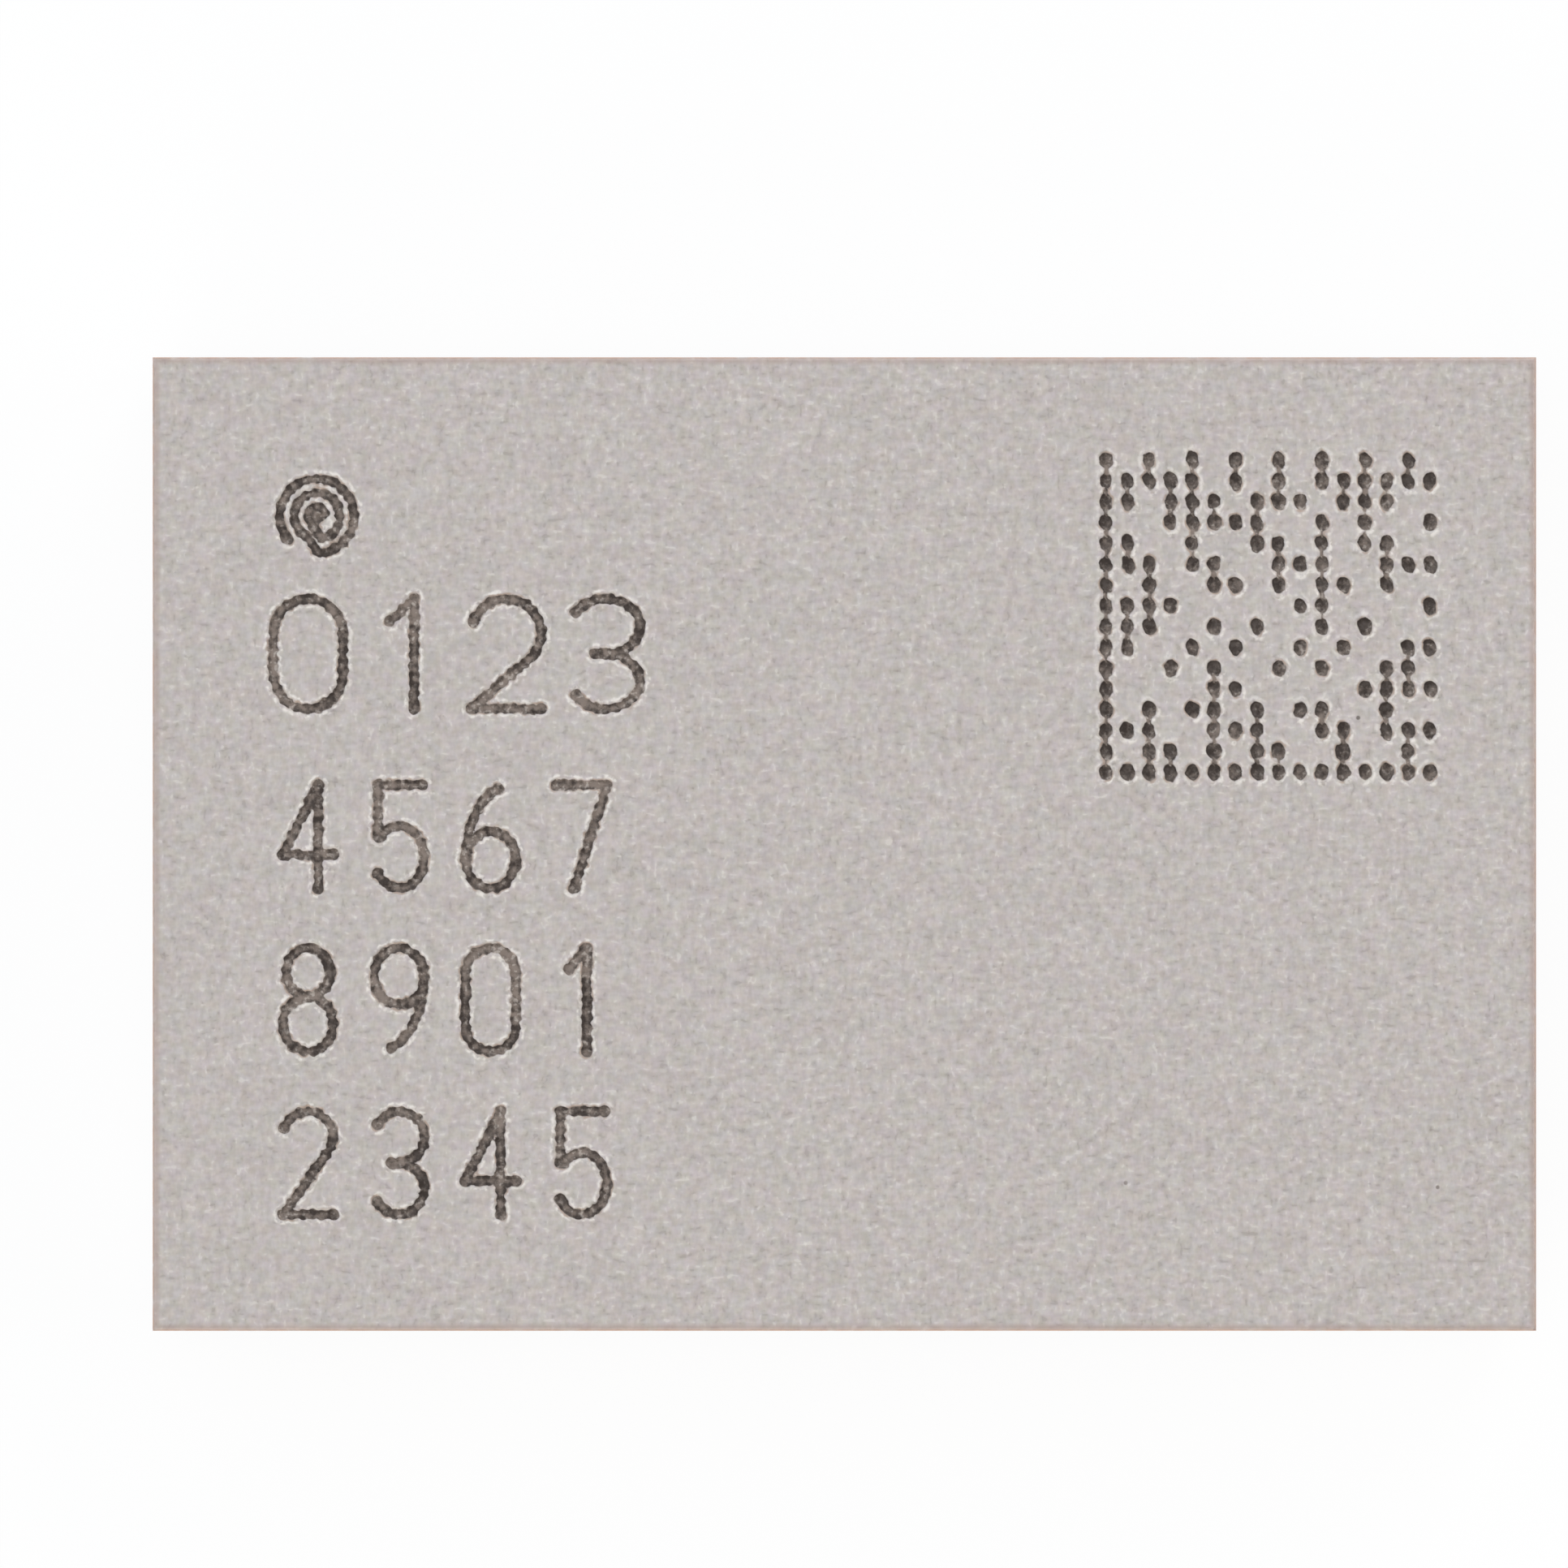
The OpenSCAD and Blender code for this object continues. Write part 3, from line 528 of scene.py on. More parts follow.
def filmRecipe(start, place):
    # The grain is two noises, one drawn out along each side of the package. Tones, roughness and a
    # slight relief follow it, and the marks and the sides go over it.
    edge = attributeOf(start, "markEdge")
    burn = attributeOf(start, "markBurnAndShade")
    top = boxOf("shield_film")[1][2]
    height = place.along(2)
    drawn = film["grainStretch"]
    lying = place.stretch(1.0, drawn, 1.0).noise(film["grain"][0], 1.3, 0.5)
    standing = place.stretch(drawn, 1.0, 1.0).noise(film["grain"][1], 1.3, 0.5)
    sawn = place.stretch(1.0, 1.0, 0.25).noise(30, 3.0, 0.6).ease(0.35, 0.7)
    side = height.ease(top - 0.002, top - 0.020)
    base = markedTone(place, edge, burn, metalTone(start, place, lying, standing))
    relief = 0.8 * lying + 0.8 * standing + 0.6 * side * sawn
    return {
        "Base Color": sidedTone(place, height, edge, side, sawn, base),
        "Metallic": film["metallic"],
        "Roughness": film["roughness"] + 0.25 * (lying - 0.5) + 0.10 * edge.ease(0.003, -0.004),
        "Normal": bumped(start, relief, film["relief"]),
    }


def lidRelief(sheet):
    # Height over the lid: sunk past the marks' sloping walls, down to a rough floor, and raised in an
    # uneven ridge round them, all of it fading out to level.
    edge = sheet.edge
    wallTop = 0.002
    sink = easeOf(edge, wallTop, wallTop - marks["wall"]) * marks["depth"] * sheet.deep
    ridge = marks["ridge"] * easeOf(np.abs(edge - marks["ridgePlace"]), marks["ridgeReach"], 0.0)
    onFloor, floorSize = marks["floorNoise"]
    onRidge, ridgeSize = marks["ridgeNoise"]
    floorNoise = onFloor * softNoise(sheet.x, sheet.y, floorSize, 7) * easeOf(edge, 0.0, -0.01)
    lift = ridge * (1 + onRidge * softNoise(sheet.x, sheet.y, ridgeSize, 8)) - sink + floorNoise
    return lift * easeOf(edge, film["fineReach"], film["fineReach"] - film["fineBlend"])


def filmSheet(low, high):
    # The lid's upper face: points close together near the marks, with their relief, and level ones far
    # apart elsewhere, all joined by triangles. Its border is a row of points round the lid.
    half = high[:2] - (film["edgeRadius"] + film["flatRim"])
    fromLow, fromHigh = film["plainBorder"]
    fineX, fineY = (np.arange(low[k] + fromLow, high[k] - fromHigh, film["fineStep"]) for k in (0, 1))
    sheet = markedSheet(*np.meshgrid(fineX, fineY), low, high)
    close = sheet.edge < film["fineReach"]
    openX, openY = (stationsOf(half[k], film["openStep"], film["cornerStep"]) for k in (0, 1))
    wideX, wideY = np.meshgrid(openX, openY)
    column, row = (np.clip(np.round((wide - fine[0]) / film["fineStep"]).astype(int), 0, len(fine) - 1)
                   for wide, fine in ((wideX, fineX), (wideY, fineY)))
    free = sheet.edge[row, column] > film["fineReach"] + film["openStep"] / 3
    inside = free & (np.abs(wideX) < half[0] - 1e-6) & (np.abs(wideY) < half[1] - 1e-6)
    border, turn = outlineOf(openX, openY)
    level = np.concatenate([border, np.stack([wideX[inside], wideY[inside]], -1)])
    places = np.concatenate([level, np.stack([sheet.x[close], sheet.y[close]], -1)])
    heights = np.concatenate([np.zeros(len(level)), lidRelief(sheet)[close]])
    edges = np.concatenate([np.ones(len(level)), sheet.edge[close]])
    burnsAndShade = np.concatenate([np.zeros(len(level)), sheet.burn[close]])
    _, _, corners, sources, *_ = delaunay_2d_cdt([Vector(p) for p in places.tolist()], [], [], 0, 1e-7)
    triangles = np.array([source[0] for source in sources])[np.array(corners)]
    return np.column_stack([places, high[2] + heights]), edges, burnsAndShade, triangles, border, turn


def filmSkirt(low, high, border, turn):
    # A profile of outward reach and level, carried along the lid's border: a quarter circle, the side
    # with a slight ripple, a small lower chamfer and the inner wall up to the mould's upper face.
    core = boxOf("top_mold")[1]
    radius = film["edgeRadius"]
    reach = radius + film["flatRim"]
    bend = np.radians(np.linspace(0, 90, film["bendSteps"] + 1))
    inward, upward = film["lowerChamfer"]
    stations = [(film["flatRim"] + radius * math.sin(t), high[2] - radius * (1 - math.cos(t)))
                for t in bend]
    side = np.linspace(high[2] - radius, low[2] + upward, film["sideRows"] + 1)
    stations += [(reach, z) for z in side[1:]]
    thick = high[0] - core[0]
    stations += [(reach - inward, low[2]), (reach - thick, low[2]), (reach - thick, core[2])]
    offset, level = np.array(stations).T
    rippled = (level < high[2] - 2 * radius) & (level > low[2] + 0.01)
    travel = np.cumsum(np.hypot(*np.diff(border, axis=0, append=border[:1]).T))
    along, up = np.meshgrid(travel, level)
    ripple = film["sideRipple"] * np.abs(softNoise(along, up, film["rippleSize"], 9))
    out = offset[:, None] - ripple * rippled[:, None]
    skirt = np.empty((len(stations), len(border), 3))
    skirt[..., :2] = border + out[..., None] * turn
    skirt[..., 2] = level[:, None]
    profile = np.cumsum(np.hypot(np.diff(offset, prepend=0), np.diff(level, prepend=high[2])))
    return skirt, travel / travel[-1], profile / profile[-1]


def filmMap(low, high, lid, skirt, around, profile):
    # The lid gets most of the bake map, seen from above. The sides lie in strips over it, by their share
    # of the way round and of the profile, and the hidden ceiling is a small view above them.
    size = high - low
    margin, strips, ceiling = 0.01, 0.94, 0.95
    scale = (1 - 2 * margin) / size[0]
    top = margin + size[1] * scale + margin
    u = margin + (1 - 2 * margin) * np.concatenate([[0], around])
    v = top + profile * (strips - top)

    def strip(lower, upper, order):  # the corners of each quad between two rows of the skirt
        corners = [(u[:-1], lower), (u[1:], lower), (u[1:], upper), (u[:-1], upper)]
        quads = np.stack([np.stack(np.broadcast_arrays(*corner), -1) for corner in corners], 1)
        return quads[:, order].reshape(-1, 2)

    maps = [(margin + (lid - low[:2]) * scale).reshape(-1, 2), strip(top - 0.004, v[0], [0, 3, 2, 1])]
    maps += [strip(v[row], v[row + 1], [3, 2, 1, 0]) for row in range(len(v) - 1)]
    maps.append(np.array([margin, ceiling]) + (skirt[-1, ::-1, :2] - low[:2]) * (0.04 / size[1]))
    return np.concatenate(maps)


def makeFilm():
    # The sheet and the skirt share the lid's border, and one flat face closes the skirt inside.
    low, high = boxOf("shield_film")
    sheet, edges, burnsAndShade, triangles, border, turn = filmSheet(low, high)
    skirt, around, profile = filmSkirt(low, high, border, turn)
    first = len(sheet)
    rows, count = skirt.shape[:2]
    step = np.arange(count)
    after = (step + 1) % count
    firstRing = np.column_stack([step, first + step, first + after, after])
    walls = gridFaces(rows, count, first)[:, ::-1]
    ceiling = [(first + (rows - 1) * count + step)[::-1]]
    marked = {"markEdge": np.concatenate([edges, np.ones(rows * count)]),
              "markBurnAndShade": np.concatenate([burnsAndShade, np.zeros(rows * count)])}
    return newPiece("sputtered_shield", np.concatenate([sheet, skirt.reshape(-1, 3)]),
                    [triangles, firstRing, walls, ceiling], newMaterial("sputteredMetal", filmRecipe),
                    ["shield_film"], marked,
                    filmMap(low, high, sheet[triangles][..., :2], skirt, around, profile))


makeFilm()


# The ball grid, shared by the lower mould and the balls

grid = {"columns": 15, "rows": "abcdefghjk", "mouldNeck": 0.105}
ballLow, ballHigh = boxOf("balls_row_a")
ballRadius = (ballHigh[1] - ballLow[1]) / 2
lastRowBox = boxOf("balls_row_k")
rowCount = len(grid["rows"])
pitchX = (ballHigh[0] - ballLow[0] - 2 * ballRadius) / (grid["columns"] - 1)
pitchY = (ballHigh[1] - lastRowBox[1][1]) / (rowCount - 1)
mouldLow, mouldHigh = boxOf("bottom_mold")
neckTurn = math.acos(grid["mouldNeck"] / ballRadius)  # radians up from a ball's widest circle


def ballPlace(column, row):  # counted from 1, from the upper left seen through the lid
    return np.array([(column - (grid["columns"] + 1) / 2) * pitchX, ((rowCount + 1) / 2 - row) * pitchY])


def hasBall(column, row):  # the outer ring, the two lowest rows and pairs at both ends
    if row == 1 or row >= rowCount - 1 or column in (1, grid["columns"]):
        return True
    return column in (2, grid["columns"] - 1) and (row == 2 or row > 4)


# Lower mould

mould = {
    "sideSteps": 14,                                        # points along one side of a cell
    # Each row of the lip and the wall: radius, drop from the mould's face, share of lip and of the wells'
    # painted light
    "lip": [(0.191, 0.0, 0.0, 0.0), (0.182, 0.0010, 0.35, 0.0), (0.1765, 0.0042, 1.0, 0.0),
            (0.1685, 0.0056, 1.0, 0.0), (0.1610, 0.0050, 1.0, 0.0), (0.1575, 0.0010, 0.35, 0.3)],
    "wall": [(0.154, -0.004, 0.0, 0.8), (0.150, -0.009, 0.0, 1.0), (0.147, -0.018, 0.0, 1.0)],
    "wellGap": 0.008, "roughLip": 0.0036, "roughRim": 0.0140, "roughFrom": (0.147, 0.160),
    "waves": (2, 3, 5, 7, 11, 16),                          # to a turn, of the lip's uneven rim
    "neckSteps": 4, "chamfer": 0.003,
    "colour": shade(57, 56, 66), "blue": shade(54, 55, 72), "brown": shade(50, 44, 46),
    "brownReach": (0.30, 0.24), "brownShare": 0.9,          # from the ends and from the long sides
    # The wells' tone is painted light, lighter than the mould against the shade in them
    "filler": shade(74, 72, 76), "lipColour": shade(146, 142, 147), "wellColour": shade(96, 90, 90),
    "roughness": 0.62, "relief": 0.0022,
}


def mouldRecipe(start, place):
    # Wide patches of a plain and a bluish tone turn brown towards the package's edges. Pale grains of
    # filler and fine noise lie over them. The wells are painted lighter than the mould, painted light
    # against the shade in them, and the lip is pale where its share and noise together are high.
    lip = attributeOf(start, "lip")
    well = attributeOf(start, "well")
    wide = place.noise(0.9, 2.0).ease(0.35, 0.65)
    endward, sideward = (place.math("ABSOLUTE", place.along(k)).ease(high - reach, high - 0.02)
                         for k, high, reach in zip((0, 1), mouldHigh, mould["brownReach"]))
    base = wide.mix(mould["blue"], mould["colour"])
    base = endward.math("MAXIMUM", endward, sideward).over(base, mould["brown"], mould["brownShare"])
    filler = place.cells(60).ease(0.16, 0.05)
    fine = place.noise(70, 3.0, 0.6)
    base = (0.35 * filler + 0.25 * fine.ease(0.5, 0.8)).mix(base, mould["filler"])
    # Painted light: the wells are lighter than the mould, against the shade in them
    base = well.mix(base, mould["wellColour"])
    ragged = (lip + 2.6 * (place.noise(30, 3.0, 0.6) - 0.5)).ease(0.35, 1.45) * lip.ease(0.0, 0.4)
    relief = fine + 0.5 * filler + 1.5 * lip * place.noise(45, 2.0)
    return {
        "Base Color": ragged.mix(base, mould["lipColour"]),
        "Roughness": mould["roughness"] - 0.14 * ragged + 0.1 * (fine - 0.5),
        "Specular IOR Level": 0.3,
        "Normal": bumped(start, relief, mould["relief"]),
    }


def evenly(half, steps):
    return np.linspace(-half, half, steps + 1)


def cellBorder():  # counter-clockwise from the lower left corner, round a cell about (0, 0)
    steps = mould["sideSteps"]
    return outlineOf(evenly(pitchX / 2, steps), evenly(pitchY / 2, steps))[0]


def ballCell(middle, seed):
    # Rings of points round a ball's hole, with quads between them: from the cell's border over the lip,
    # down the well, along the ball to its neck and out to the border again on the mould's other face. A
    # ring is a circle whose radius swings by a sum of cosines, in full at the lip and not in the well.
    border = cellBorder()
    count = len(border)
    turn = math.radians(-135) + np.arange(count) * 2 * math.pi / count  # from the lower left too
    circle = np.stack([np.cos(turn), np.sin(turn)], -1)
    chance = np.random.default_rng(seed)
    wobble = sum(chance.uniform(-1, 1) * np.cos(k * turn + chance.uniform(0, 6.28)) / k ** 0.7
                 for k in mould["waves"])
    face = np.full(count, mouldLow[2])
    halfway = border * 0.5 + circle * 0.1
    rows = [(border, face, 0.0, 0.0), (halfway, face, 0.0, 0.0)]
    for radius, rise, lip, well in mould["lip"] + mould["wall"]:
        fade = easeOf(radius, *mould["roughFrom"])
        rough = mould["roughLip"] * chance.uniform(-1, 1, count) * lip
        reach = radius + fade * 0.5 * mould["roughRim"] * wobble
        rows.append((circle * reach[:, None], face - rise - rough, lip, well))
    rows.append((circle * (ballRadius + mould["wellGap"]), np.full(count, ballRadius), 0.0, 1.0))
    for turnUp in np.linspace(0, neckTurn, mould["neckSteps"] + 1):
        level = ballRadius * (1 + math.sin(turnUp)) if turnUp < neckTurn else mouldHigh[2]
        rows.append((circle * ballRadius * math.cos(turnUp), np.full(count, level), 0.0, 1.0))
    rows.append((border, np.full(count, mouldHigh[2]), 0.0, 0.0))
    points = np.concatenate([np.column_stack([place + middle, level]) for place, level, _, _ in rows])
    lips, wells = (np.repeat([row[k] for row in rows], count) for k in (2, 3))
    return points, gridFaces(len(rows), count)[:, ::-1], lips, wells


def plainCell(middle):
    # A cell with no ball: its lower face as a grid, its upper face as one flat face with the same border.
    steps = mould["sideSteps"]
    x, y = np.meshgrid(evenly(pitchX / 2, steps), evenly(pitchY / 2, steps))
    size = (steps + 1) ** 2
    lower = np.column_stack([x.ravel() + middle[0], y.ravel() + middle[1], np.full(size, mouldLow[2])])
    border = cellBorder() + middle
    upper = np.column_stack([border, np.full(len(border), mouldHigh[2])])
    faces = gridFaces(steps + 1, steps + 1, closed=False)[:, ::-1]
    return np.concatenate([lower, upper]), faces, size + np.arange(len(border))


def mouldBand():
    # A profile of outward share and level, carried round the cells from their border to the mould's edge.
    steps = mould["sideSteps"]
    border, turn = outlineOf(evenly(grid["columns"] * pitchX / 2, grid["columns"] * steps),
                             evenly(rowCount * pitchY / 2, rowCount * steps))
    margin = mouldHigh[:2] - np.abs(border).max(0)
    bottom = mouldLow[2]
    top = mouldHigh[2]
    stations = [(0, bottom), (0.9, bottom), (1, bottom + mould["chamfer"]), (1, top), (0, top)]
    band = np.concatenate([np.column_stack([border + share * margin * turn, np.full(len(border), level)])
                           for share, level in stations])
    return band, gridFaces(len(stations), len(border))


def mouldMap(corners):  # what faces down or lines a well in one large view, what is hidden in a small one
    hidden = corners[..., 2].mean(1) > ballRadius + 1e-6
    flat = (corners[..., :2] - mouldLow[:2]) / (mouldHigh[0] - mouldLow[0])
    large = 0.01 + flat * 0.98
    small = np.array([0.01, 0.72]) + flat * 0.35
    return np.where(hidden[:, None, None], small, large).reshape(-1, 2)


def makeMould():
    # A cell for each place of the grid and the band round them. Their borders have points in common.
    pieces = []
    flats = []
    begun = 0
    for row in range(1, rowCount + 1):
        for column in range(1, grid["columns"] + 1):
            middle = ballPlace(column, row)
            if hasBall(column, row):
                points, quads, lips, wells = ballCell(middle, 100 * row + column)
            else:
                points, quads, flat = plainCell(middle)
                lips = wells = np.zeros(len(points))
                flats.append(flat + begun)
            pieces.append((points, quads + begun, lips, wells))
            begun += len(points)
    band, quads = mouldBand()
    pieces.append((band, quads + begun, np.zeros(len(band)), np.zeros(len(band))))
    points, quads, lips, wells = (np.concatenate(parts) for parts in zip(*pieces))
    faceLists = [quads, np.array(flats)]
    return newPiece("well_mould", points, faceLists, newMaterial("lowerMouldCompound", mouldRecipe),
                    ["bottom_mold"], {"lip": lips, "well": wells},
                    np.concatenate([mouldMap(points[faces]) for faces in faceLists]))


makeMould()


# Solder balls

solder = {
    "across": 48, "rows": 30,
    "dents": [(0.028, 2.6), (0.009, 6.5)], "dentWaves": 4,  # strength, radians to a radius
    "dentFade": (-0.05, -0.5),                              # radians up from the widest circle
    "speckCount": (2, 9), "speckPlace": (0.150, 0.172), "speckSize": (0.009, 0.022),
    "speckTurn": 128, "speckSpread": 0.6, "speckShape": (1, 0.6, 0.45), "speckSink": 0.004,
    "colour": shade(204, 208, 214), "dull": shade(164, 163, 161), "dusky": shade(96, 90, 84),
    "spotShare": 0.5, "mouldReflectionShare": 0.85, "mouldReflection": (0.034, 0.070),   # painted reflection of the dark mould: dusky, from one height to another
    "speckColour": shade(158, 155, 153), "roughness": 0.23,
}


def solderRecipe(start, place):
    # Bright metal turns dull in patches and by fine noise, with a few dusky spots. It is painted dusky
    # from the flank up to the mould, a painted reflection of the dark mould, and the specks are grey and
    # rougher.
    wide = place.noise(9, 2.0).ease(0.40, 0.70)
    fine = place.noise(60, 3.0, 0.6)
    speck = attributeOf(start, "speck")
    mouldReflection = place.along(2).ease(*solder["mouldReflection"]) * (1 - speck)
    base = (0.35 * wide + 0.20 * fine.ease(0.45, 0.8)).mix(solder["colour"], solder["dull"])
    base = place.noise(26, 2.0).ease(0.66, 0.76).over(base, solder["dusky"], solder["spotShare"])
    # Painted reflection: darker from the flank up to the mould, which the ball reflects there
    base = mouldReflection.over(base, solder["dusky"], solder["mouldReflectionShare"])
    return {
        "Base Color": speck.mix(base, solder["speckColour"]),
        "Metallic": 1.0,
        "Roughness": solder["roughness"] + 0.12 * wide + 0.12 * (fine - 0.5) + 0.06 * mouldReflection + 0.25 * speck,
    }


def specksOf(seed):
    # Small lumps splashed on the rim of a well, most to its lower right seen from below. Each is an
    # eight-sided form, its six corners stretched by chance and turned, at a turn and a distance from
    # the ball's middle.
    chance = np.random.default_rng(seed)
    corners = np.array([(1, 0, 0), (0, 1, 0), (-1, 0, 0), (0, -1, 0), (0, 0, 1), (0, 0, -1)], float)
    sides = np.array([(0, 1, 4), (1, 2, 4), (2, 3, 4), (3, 0, 4),
                      (1, 0, 5), (2, 1, 5), (3, 2, 5), (0, 3, 5)])
    fewest, most = solder["speckCount"]
    points = []
    faces = []
    for number in range(chance.integers(fewest, most + 1)):
        turn = chance.normal(math.radians(solder["speckTurn"]), solder["speckSpread"])
        away = chance.uniform(*solder["speckPlace"])
        size = chance.uniform(*solder["speckSize"]) * np.array(solder["speckShape"])
        spin = chance.uniform(0, 2 * math.pi)
        cos, sin = math.cos(spin), math.sin(spin)
        lump = corners * size * chance.uniform(0.7, 1.2, (6, 1))
        lump[:, :2] = lump[:, :2] @ np.array([[cos, -sin], [sin, cos]])
        middle = (away * math.cos(turn), -away * math.sin(turn), mouldLow[2] - solder["speckSink"])
        points.append(lump + middle)
        faces.append(sides + len(corners) * number)
    return np.concatenate(points), np.concatenate(faces)


def ballForm(seed):
    # A sphere on the seating plane, as rows of points round it from the lowest upwards. Below its widest
    # circle the radius falls by a few waves, each a cosine of the distance along a random direction. A
    # last row on the land makes a short post, and the last two points close the form below and above.
    up = np.linspace(-math.pi / 2, neckTurn, solder["rows"] + 1)[1:]
    turn = np.arange(solder["across"]) * 2 * math.pi / solder["across"]
    rise, around = np.meshgrid(up, turn, indexing="ij")
    unit = np.stack([np.cos(rise) * np.cos(around), np.cos(rise) * np.sin(around), np.sin(rise)], -1)
    pole = np.array([[[0.0, 0.0, -1.0]]])
    chance = np.random.default_rng(seed)
    waves = [(depth, pace, chance.normal(size=3), chance.uniform(0, 6.28))
             for depth, pace in solder["dents"] for _ in range(solder["dentWaves"])]

    def dented(direction):
        return sum(depth / 2 * np.cos(direction @ (axis / np.linalg.norm(axis)) * pace + begin)
                   for depth, pace, axis, begin in waves)

    wave = dented(unit)
    poleWave = dented(pole)
    top = max(wave.max(), poleWave.max())
    body = unit * (ballRadius * (1 - (top - wave) * 0.5 * easeOf(rise, *solder["dentFade"])))[..., None]
    tip = pole * ballRadius * (1 - (top - poleWave) * 0.5)[..., None]
    body[..., 2] += ballRadius
    tip[..., 2] += ballRadius
    post = body[-1:] * (1, 1, 0) + (0, 0, ballHigh[2])
    return np.concatenate([np.concatenate([body, post]).reshape(-1, 3), tip[0], [[0, 0, ballHigh[2]]]])


def ballFaces():  # quads between a ball's rows, and a fan of triangles at each end
    across = solder["across"]
    lowest = (solder["rows"] + 1) * across
    step = np.arange(across)
    after = (step + 1) % across
    lowerFan = np.column_stack([np.full(across, lowest), after, step])
    upperRow = lowest - across
    upperFan = np.column_stack([np.full(across, lowest + 1), upperRow + step, upperRow + after])
    return gridFaces(solder["rows"] + 1, across), lowerFan, upperFan


def ballDisc(centre, side):
    # A ball's square of the bake map: its rows are rings about the centre, from the lowest outwards.
    rings = solder["rows"] + 1
    level = np.linspace(1 / rings, 1, rings) * 0.48 / side
    turn = np.arange(solder["across"]) * 2 * math.pi / solder["across"]
    disc = centre + level[:, None, None] * np.stack([np.cos(turn), np.sin(turn)], -1)
    return np.concatenate([disc.reshape(-1, 2), [centre, centre]])


def makeBalls(row, material):
    # A row's balls with the specks round them. The specks share a corner of their ball's square.
    quads, lowerFan, upperFan = ballFaces()
    columns = [c for c in range(1, grid["columns"] + 1) if hasBall(c, row)]
    side = math.ceil(math.sqrt(len(columns)))
    points, marked, quadLists, fanLists, quadMaps, fanMaps = ([] for _ in range(6))
    begun = 0
    for number, column in enumerate(columns):
        form = ballForm(1000 * row + column)
        specks, speckSides = specksOf(2000 * row + column)
        middle = (*ballPlace(column, row), 0)
        points += [form + middle, specks + middle]
        marked += [np.zeros(len(form)), np.ones(len(specks))]
        quadLists.append(quads + begun)
        fanLists.append(np.concatenate([lowerFan, upperFan, speckSides + len(form)]) + begun)
        begun += len(form) + len(specks)
        centre = (np.array([number % side, number // side]) + 0.5) / side
        disc = ballDisc(centre, side)
        top = np.broadcast_to(disc[upperFan[:, 1:2]], (*upperFan.shape, 2))
        corner = centre + (0.45 + 0.1 * specks[speckSides][..., :2]) / side
        quadMaps.append(disc[quads].reshape(-1, 2))
        fanMaps.append(np.concatenate([disc[lowerFan], top, corner]).reshape(-1, 2))
    letter = grid["rows"][row - 1]
    return newPiece("solder_balls_" + letter, np.concatenate(points),
                    [np.concatenate(quadLists), np.concatenate(fanLists)], material,
                    ["balls_row_" + letter], {"speck": np.concatenate(marked)},
                    np.concatenate(quadMaps + fanMaps))


solderMaterial = newMaterial("ballSolder", solderRecipe)
for ballRow in range(1, rowCount + 1):
    makeBalls(ballRow, solderMaterial)


# Inner parts: the CAD nodes with a finish each

def grained(base, other, perMm, lowShare, highShare, roughness, metallic=0.0, stretch=(1, 1, 1)):
    # Two colours, the other where a noise is high
    def recipe(start, place):
        share = place.stretch(*stretch).noise(perMm, 3.0, 0.6).ease(lowShare, highShare)
        return {"Base Color": share.mix(base, other), "Roughness": roughness, "Metallic": metallic}
    return recipe


def wovenGlass(start, place):
    # Two sets of yarn cross in the resin: each is a sine along one axis, and their sum makes the cloth
    yarnPitch = 0.42
    pace = 2 * math.pi / yarnPitch
    warp = place.math("SINE", place.along(0) * pace)
    weft = place.math("SINE", place.along(1) * pace)
    cloth = (0.5 + 0.25 * (warp + weft) + 0.5 * (place.noise(14, 2.0) - 0.5)).ease(0.2, 0.9)
    return {"Base Color": cloth.mix(shade(150, 142, 98), shade(186, 178, 134)), "Roughness": 0.5}


finishes = {
    "upperMould": (grained(shade(42, 42, 46), shade(96, 95, 98), 55, 0.60, 0.75, 0.65), ["top_mold"]),
    "mask": (grained(shade(18, 62, 40), shade(30, 84, 56), 22, 0.35, 0.70, 0.35),
             ["upper_solder_mask", "lower_solder_mask"]),
    "glassEpoxy": (wovenGlass, ["laminate"]),
    "foilCopper": (grained(shade(196, 128, 84), shade(150, 88, 54), 18, 0.45, 0.75, 0.34, 1.0),
                   ["ground_plane", "supply_plane", "upper_lands", "lower_lands"]),
    "platedCopper": (grained(shade(206, 140, 92), shade(160, 96, 60), 45, 0.45, 0.75, 0.40, 1.0),
                     ["ground_vias", "signal_vias", "thermal_vias", "power_amp_pillars", "driver_pillars",
                      "controller_pillars", "antenna_switch_pillars", "low_noise_amp_pillars",
                      "receive_switch_pillars"]),
    "silicon": (grained(shade(96, 100, 112), shade(112, 118, 132), 12, 0.35, 0.65, 0.18, 0.6, (1, 8, 1)),
                ["power_amp_die", "driver_die", "controller_die", "antenna_switch_die",
                 "low_noise_amp_die", "receive_switch_die"]),
    "filterCeramic": (grained(shade(70, 80, 98), shade(94, 104, 120), 30, 0.45, 0.70, 0.30),
                      ["filter_a", "filter_b", "filter_c", "filter_d"]),
    "capacitorCeramic": (grained(shade(158, 132, 98), shade(134, 108, 78), 40, 0.45, 0.70, 0.45),
                         ["capacitor_bodies"]),
    "inductorCeramic": (grained(shade(58, 68, 104), shade(84, 94, 128), 34, 0.50, 0.72, 0.42),
                        ["inductor_bodies"]),
    "tinPlate": (grained(shade(210, 210, 205), shade(172, 170, 164), 36, 0.40, 0.72, 0.36, 1.0),
                 ["capacitor_terminals", "inductor_terminals"]),
    "jointSolder": (grained(shade(204, 204, 206), shade(160, 158, 156), 40, 0.42, 0.72, 0.30, 1.0),
                    ["filter_joints", "passive_joints"]),
}
for finishName, (recipe, nodeNames) in finishes.items():
    finish = newMaterial(finishName, recipe)
    for nodeName in nodeNames:
        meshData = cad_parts[nodeName].data
        meshData.materials.clear()
        meshData.materials.append(finish)
print("finishes given to", sum(len(names) for _, names in finishes.values()), "inner parts")


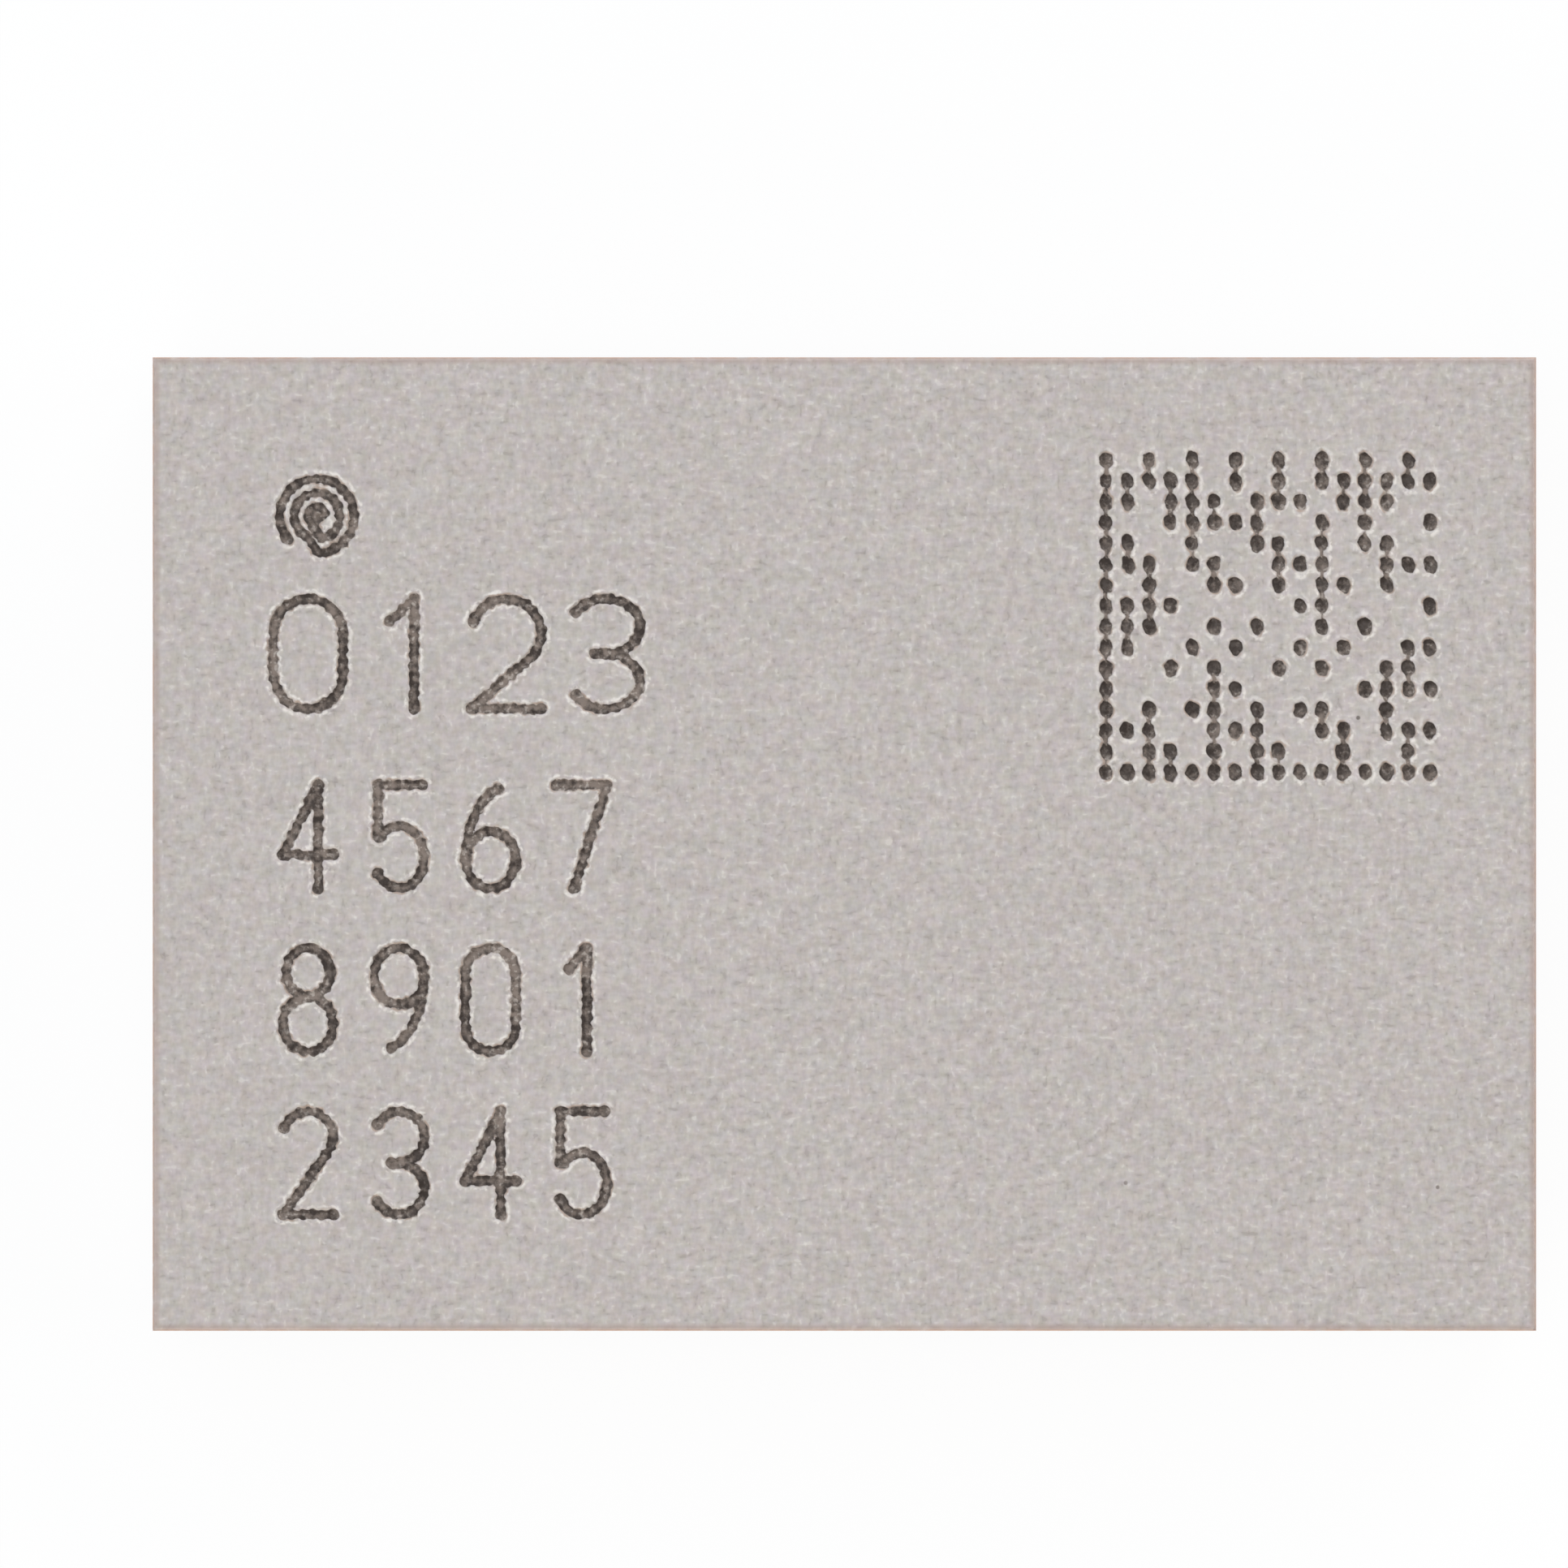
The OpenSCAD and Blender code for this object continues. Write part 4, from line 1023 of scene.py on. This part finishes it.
# Stage, lamps and camera

studio = {
    "floorColour": (0.92, 0.92, 0.92, 1.0), "floorGlow": 0.93, "floorRadius": 0.12, "floorSides": 64,
    "skyBright": (0.80, 0.88, 0.97, 1.0), "skyDim": (0.10, 0.09, 0.08, 1.0),
    "skyLean": (0.85, 0.5),                # towards the bright side, along x and y
    "skyBlend": (-0.40, 0.35), "horizon": 0.15,
    "lampAway": 0.075,                     # metres
    # Turn from +X and height above the floor in degrees, width and depth in degrees as seen from the
    # part, share of white on a level face, colour. Each has a twin below the floor, for the underside.
    "lamps": [
        (150, 50, 88, 80, 0.117, (0.90, 0.95, 1.0)),
        (58, 29, 34, 32, 0.155, (1.0, 1.0, 1.0)),
        (2, 38, 36, 34, 0.194, (1.0, 0.98, 0.95)),
        (257, 31, 50, 44, 0.243, (1.0, 0.95, 0.88)),
    ],
    "viewWidth": 6.957,                    # mm across the frame, at the lid
    "viewMiddle": (-0.268, 0.2665),        # mm from the package's middle to the frame's
    "lens": 250, "sensor": 36,             # mm
    "clip": (0.001, 1.0),                  # metres
}


def floorMaterial():
    # Pale and lit for most rays, mostly plain white to the camera, and clear from below
    made = bpy.data.materials.new("paleFloor")
    start = emptyTree(made)
    camera = start.node("ShaderNodeLightPath", output="Is Camera Ray")
    plain = start.node("ShaderNodeBsdfDiffuse", {}, {"Color": studio["floorColour"]})
    white = start.node("ShaderNodeEmission", {}, {"Strength": 1.0})
    pale = start.node("ShaderNodeMixShader", {}, {0: camera * studio["floorGlow"], 1: plain, 2: white})
    clear = start.node("ShaderNodeBsdfTransparent")
    fromBelow = start.node("ShaderNodeNewGeometry", output="Backfacing")
    surface = start.node("ShaderNodeMixShader", {}, {0: fromBelow, 1: pale, 2: clear})
    start.node("ShaderNodeOutputMaterial", {}, {"Surface": surface})
    return made


def makeFloor():
    # A flat disc: a ring of quads between two circles, and a fan of triangles about its middle.
    sides = studio["floorSides"]
    turn = np.arange(sides) * 2 * math.pi / sides
    rings = np.array([0.3, 1.0])[:, None, None] * np.stack([np.cos(turn), np.sin(turn)], -1)
    points = np.zeros((2 * sides + 1, 3))
    points[:-1, :2] = rings.reshape(-1, 2) * studio["floorRadius"]
    faces = [quad.tolist() for quad in gridFaces(2, sides)[:, ::-1]]
    faces += [[2 * sides, k, (k + 1) % sides] for k in range(sides)]
    mesh = bpy.data.meshes.new("floor")
    mesh.from_pydata(points.tolist(), [], faces)
    mesh.materials.append(floorMaterial())
    floor = bpy.data.objects.new("floor", mesh)
    bpy.context.scene.collection.objects.link(floor)
    floor.visible_glossy = False
    floor.visible_shadow = False


def makeLamps():
    # A lamp at a turn and a height has an ellipse that spans its width and depth, seen from the part.
    for number, (turn, height, width, depth, share, colour) in enumerate(studio["lamps"]):
        for name, below in (("lamp_", 1), ("under_lamp_", -1)):
            lampData = bpy.data.lights.new(name + str(number + 1), "AREA")
            lampData.shape = "ELLIPSE"
            lampData.size = 2 * studio["lampAway"] * math.tan(math.radians(width / 2))
            lampData.size_y = 2 * studio["lampAway"] * math.tan(math.radians(depth / 2))
            lampData.color = colour
            # Its power makes up for its distance and slant, to give its share on a level face
            slant = math.sin(math.radians(height))
            lampData.energy = share * (math.pi * studio["lampAway"]) ** 2 / slant
            lamp = bpy.data.objects.new(lampData.name, lampData)
            away = Vector((math.cos(math.radians(turn)) * math.cos(math.radians(height)) * below,
                           math.sin(math.radians(turn)) * math.cos(math.radians(height)), slant * below))
            lamp.location = away * studio["lampAway"]
            lamp.rotation_mode = "QUATERNION"
            lamp.rotation_quaternion = away.to_track_quat("Z", "Y")
            bpy.context.scene.collection.objects.link(lamp)


def makeSky():
    # The camera sees plain white all round, and all other rays a bright and a dim side. The bright one
    # is white in reflections and through surfaces. The sides change places below the floor, as the
    # lamps do.
    world = bpy.data.worlds.new("studioSky")
    start = emptyTree(world)
    place = start.node("ShaderNodeTexCoord", output="Generated")
    below = 1 - 2 * place.along(2).ease(-studio["horizon"], studio["horizon"])
    lean = studio["skyLean"][0] * place.along(0) * below + studio["skyLean"][1] * place.along(1)
    bright = lean.ease(*studio["skyBlend"])
    colour = bright.mix(studio["skyDim"], studio["skyBright"])
    camera, glossy, passed = (start.node("ShaderNodeLightPath", output="Is " + ray + " Ray")
                              for ray in ("Camera", "Glossy", "Transmission"))
    white = camera + (glossy + passed) * bright
    sky = start.node("ShaderNodeBackground", {}, {"Color": white.mix(colour, (1.0, 1.0, 1.0, 1.0))})
    start.node("ShaderNodeOutputWorld", {}, {"Surface": sky})
    bpy.context.scene.world = world


def makeCamera():
    # Straight above the part, as far away as makes the frame as wide as it should be at the lid.
    view = bpy.data.cameras.new("camera")
    view.lens = studio["lens"]
    view.sensor_width = studio["sensor"]
    away = studio["viewWidth"] * mm * studio["lens"] / studio["sensor"]
    view.clip_start, view.clip_end = studio["clip"]
    camera = bpy.data.objects.new("camera", view)
    camera.location = (studio["viewMiddle"][0] * mm, studio["viewMiddle"][1] * mm, cadBox[1].z + away)
    bpy.context.scene.collection.objects.link(camera)
    bpy.context.scene.camera = camera


makeFloor()
makeLamps()
makeSky()
makeCamera()
bpy.context.scene.view_settings.view_transform = "Standard"
print("stage, lamps and camera set")
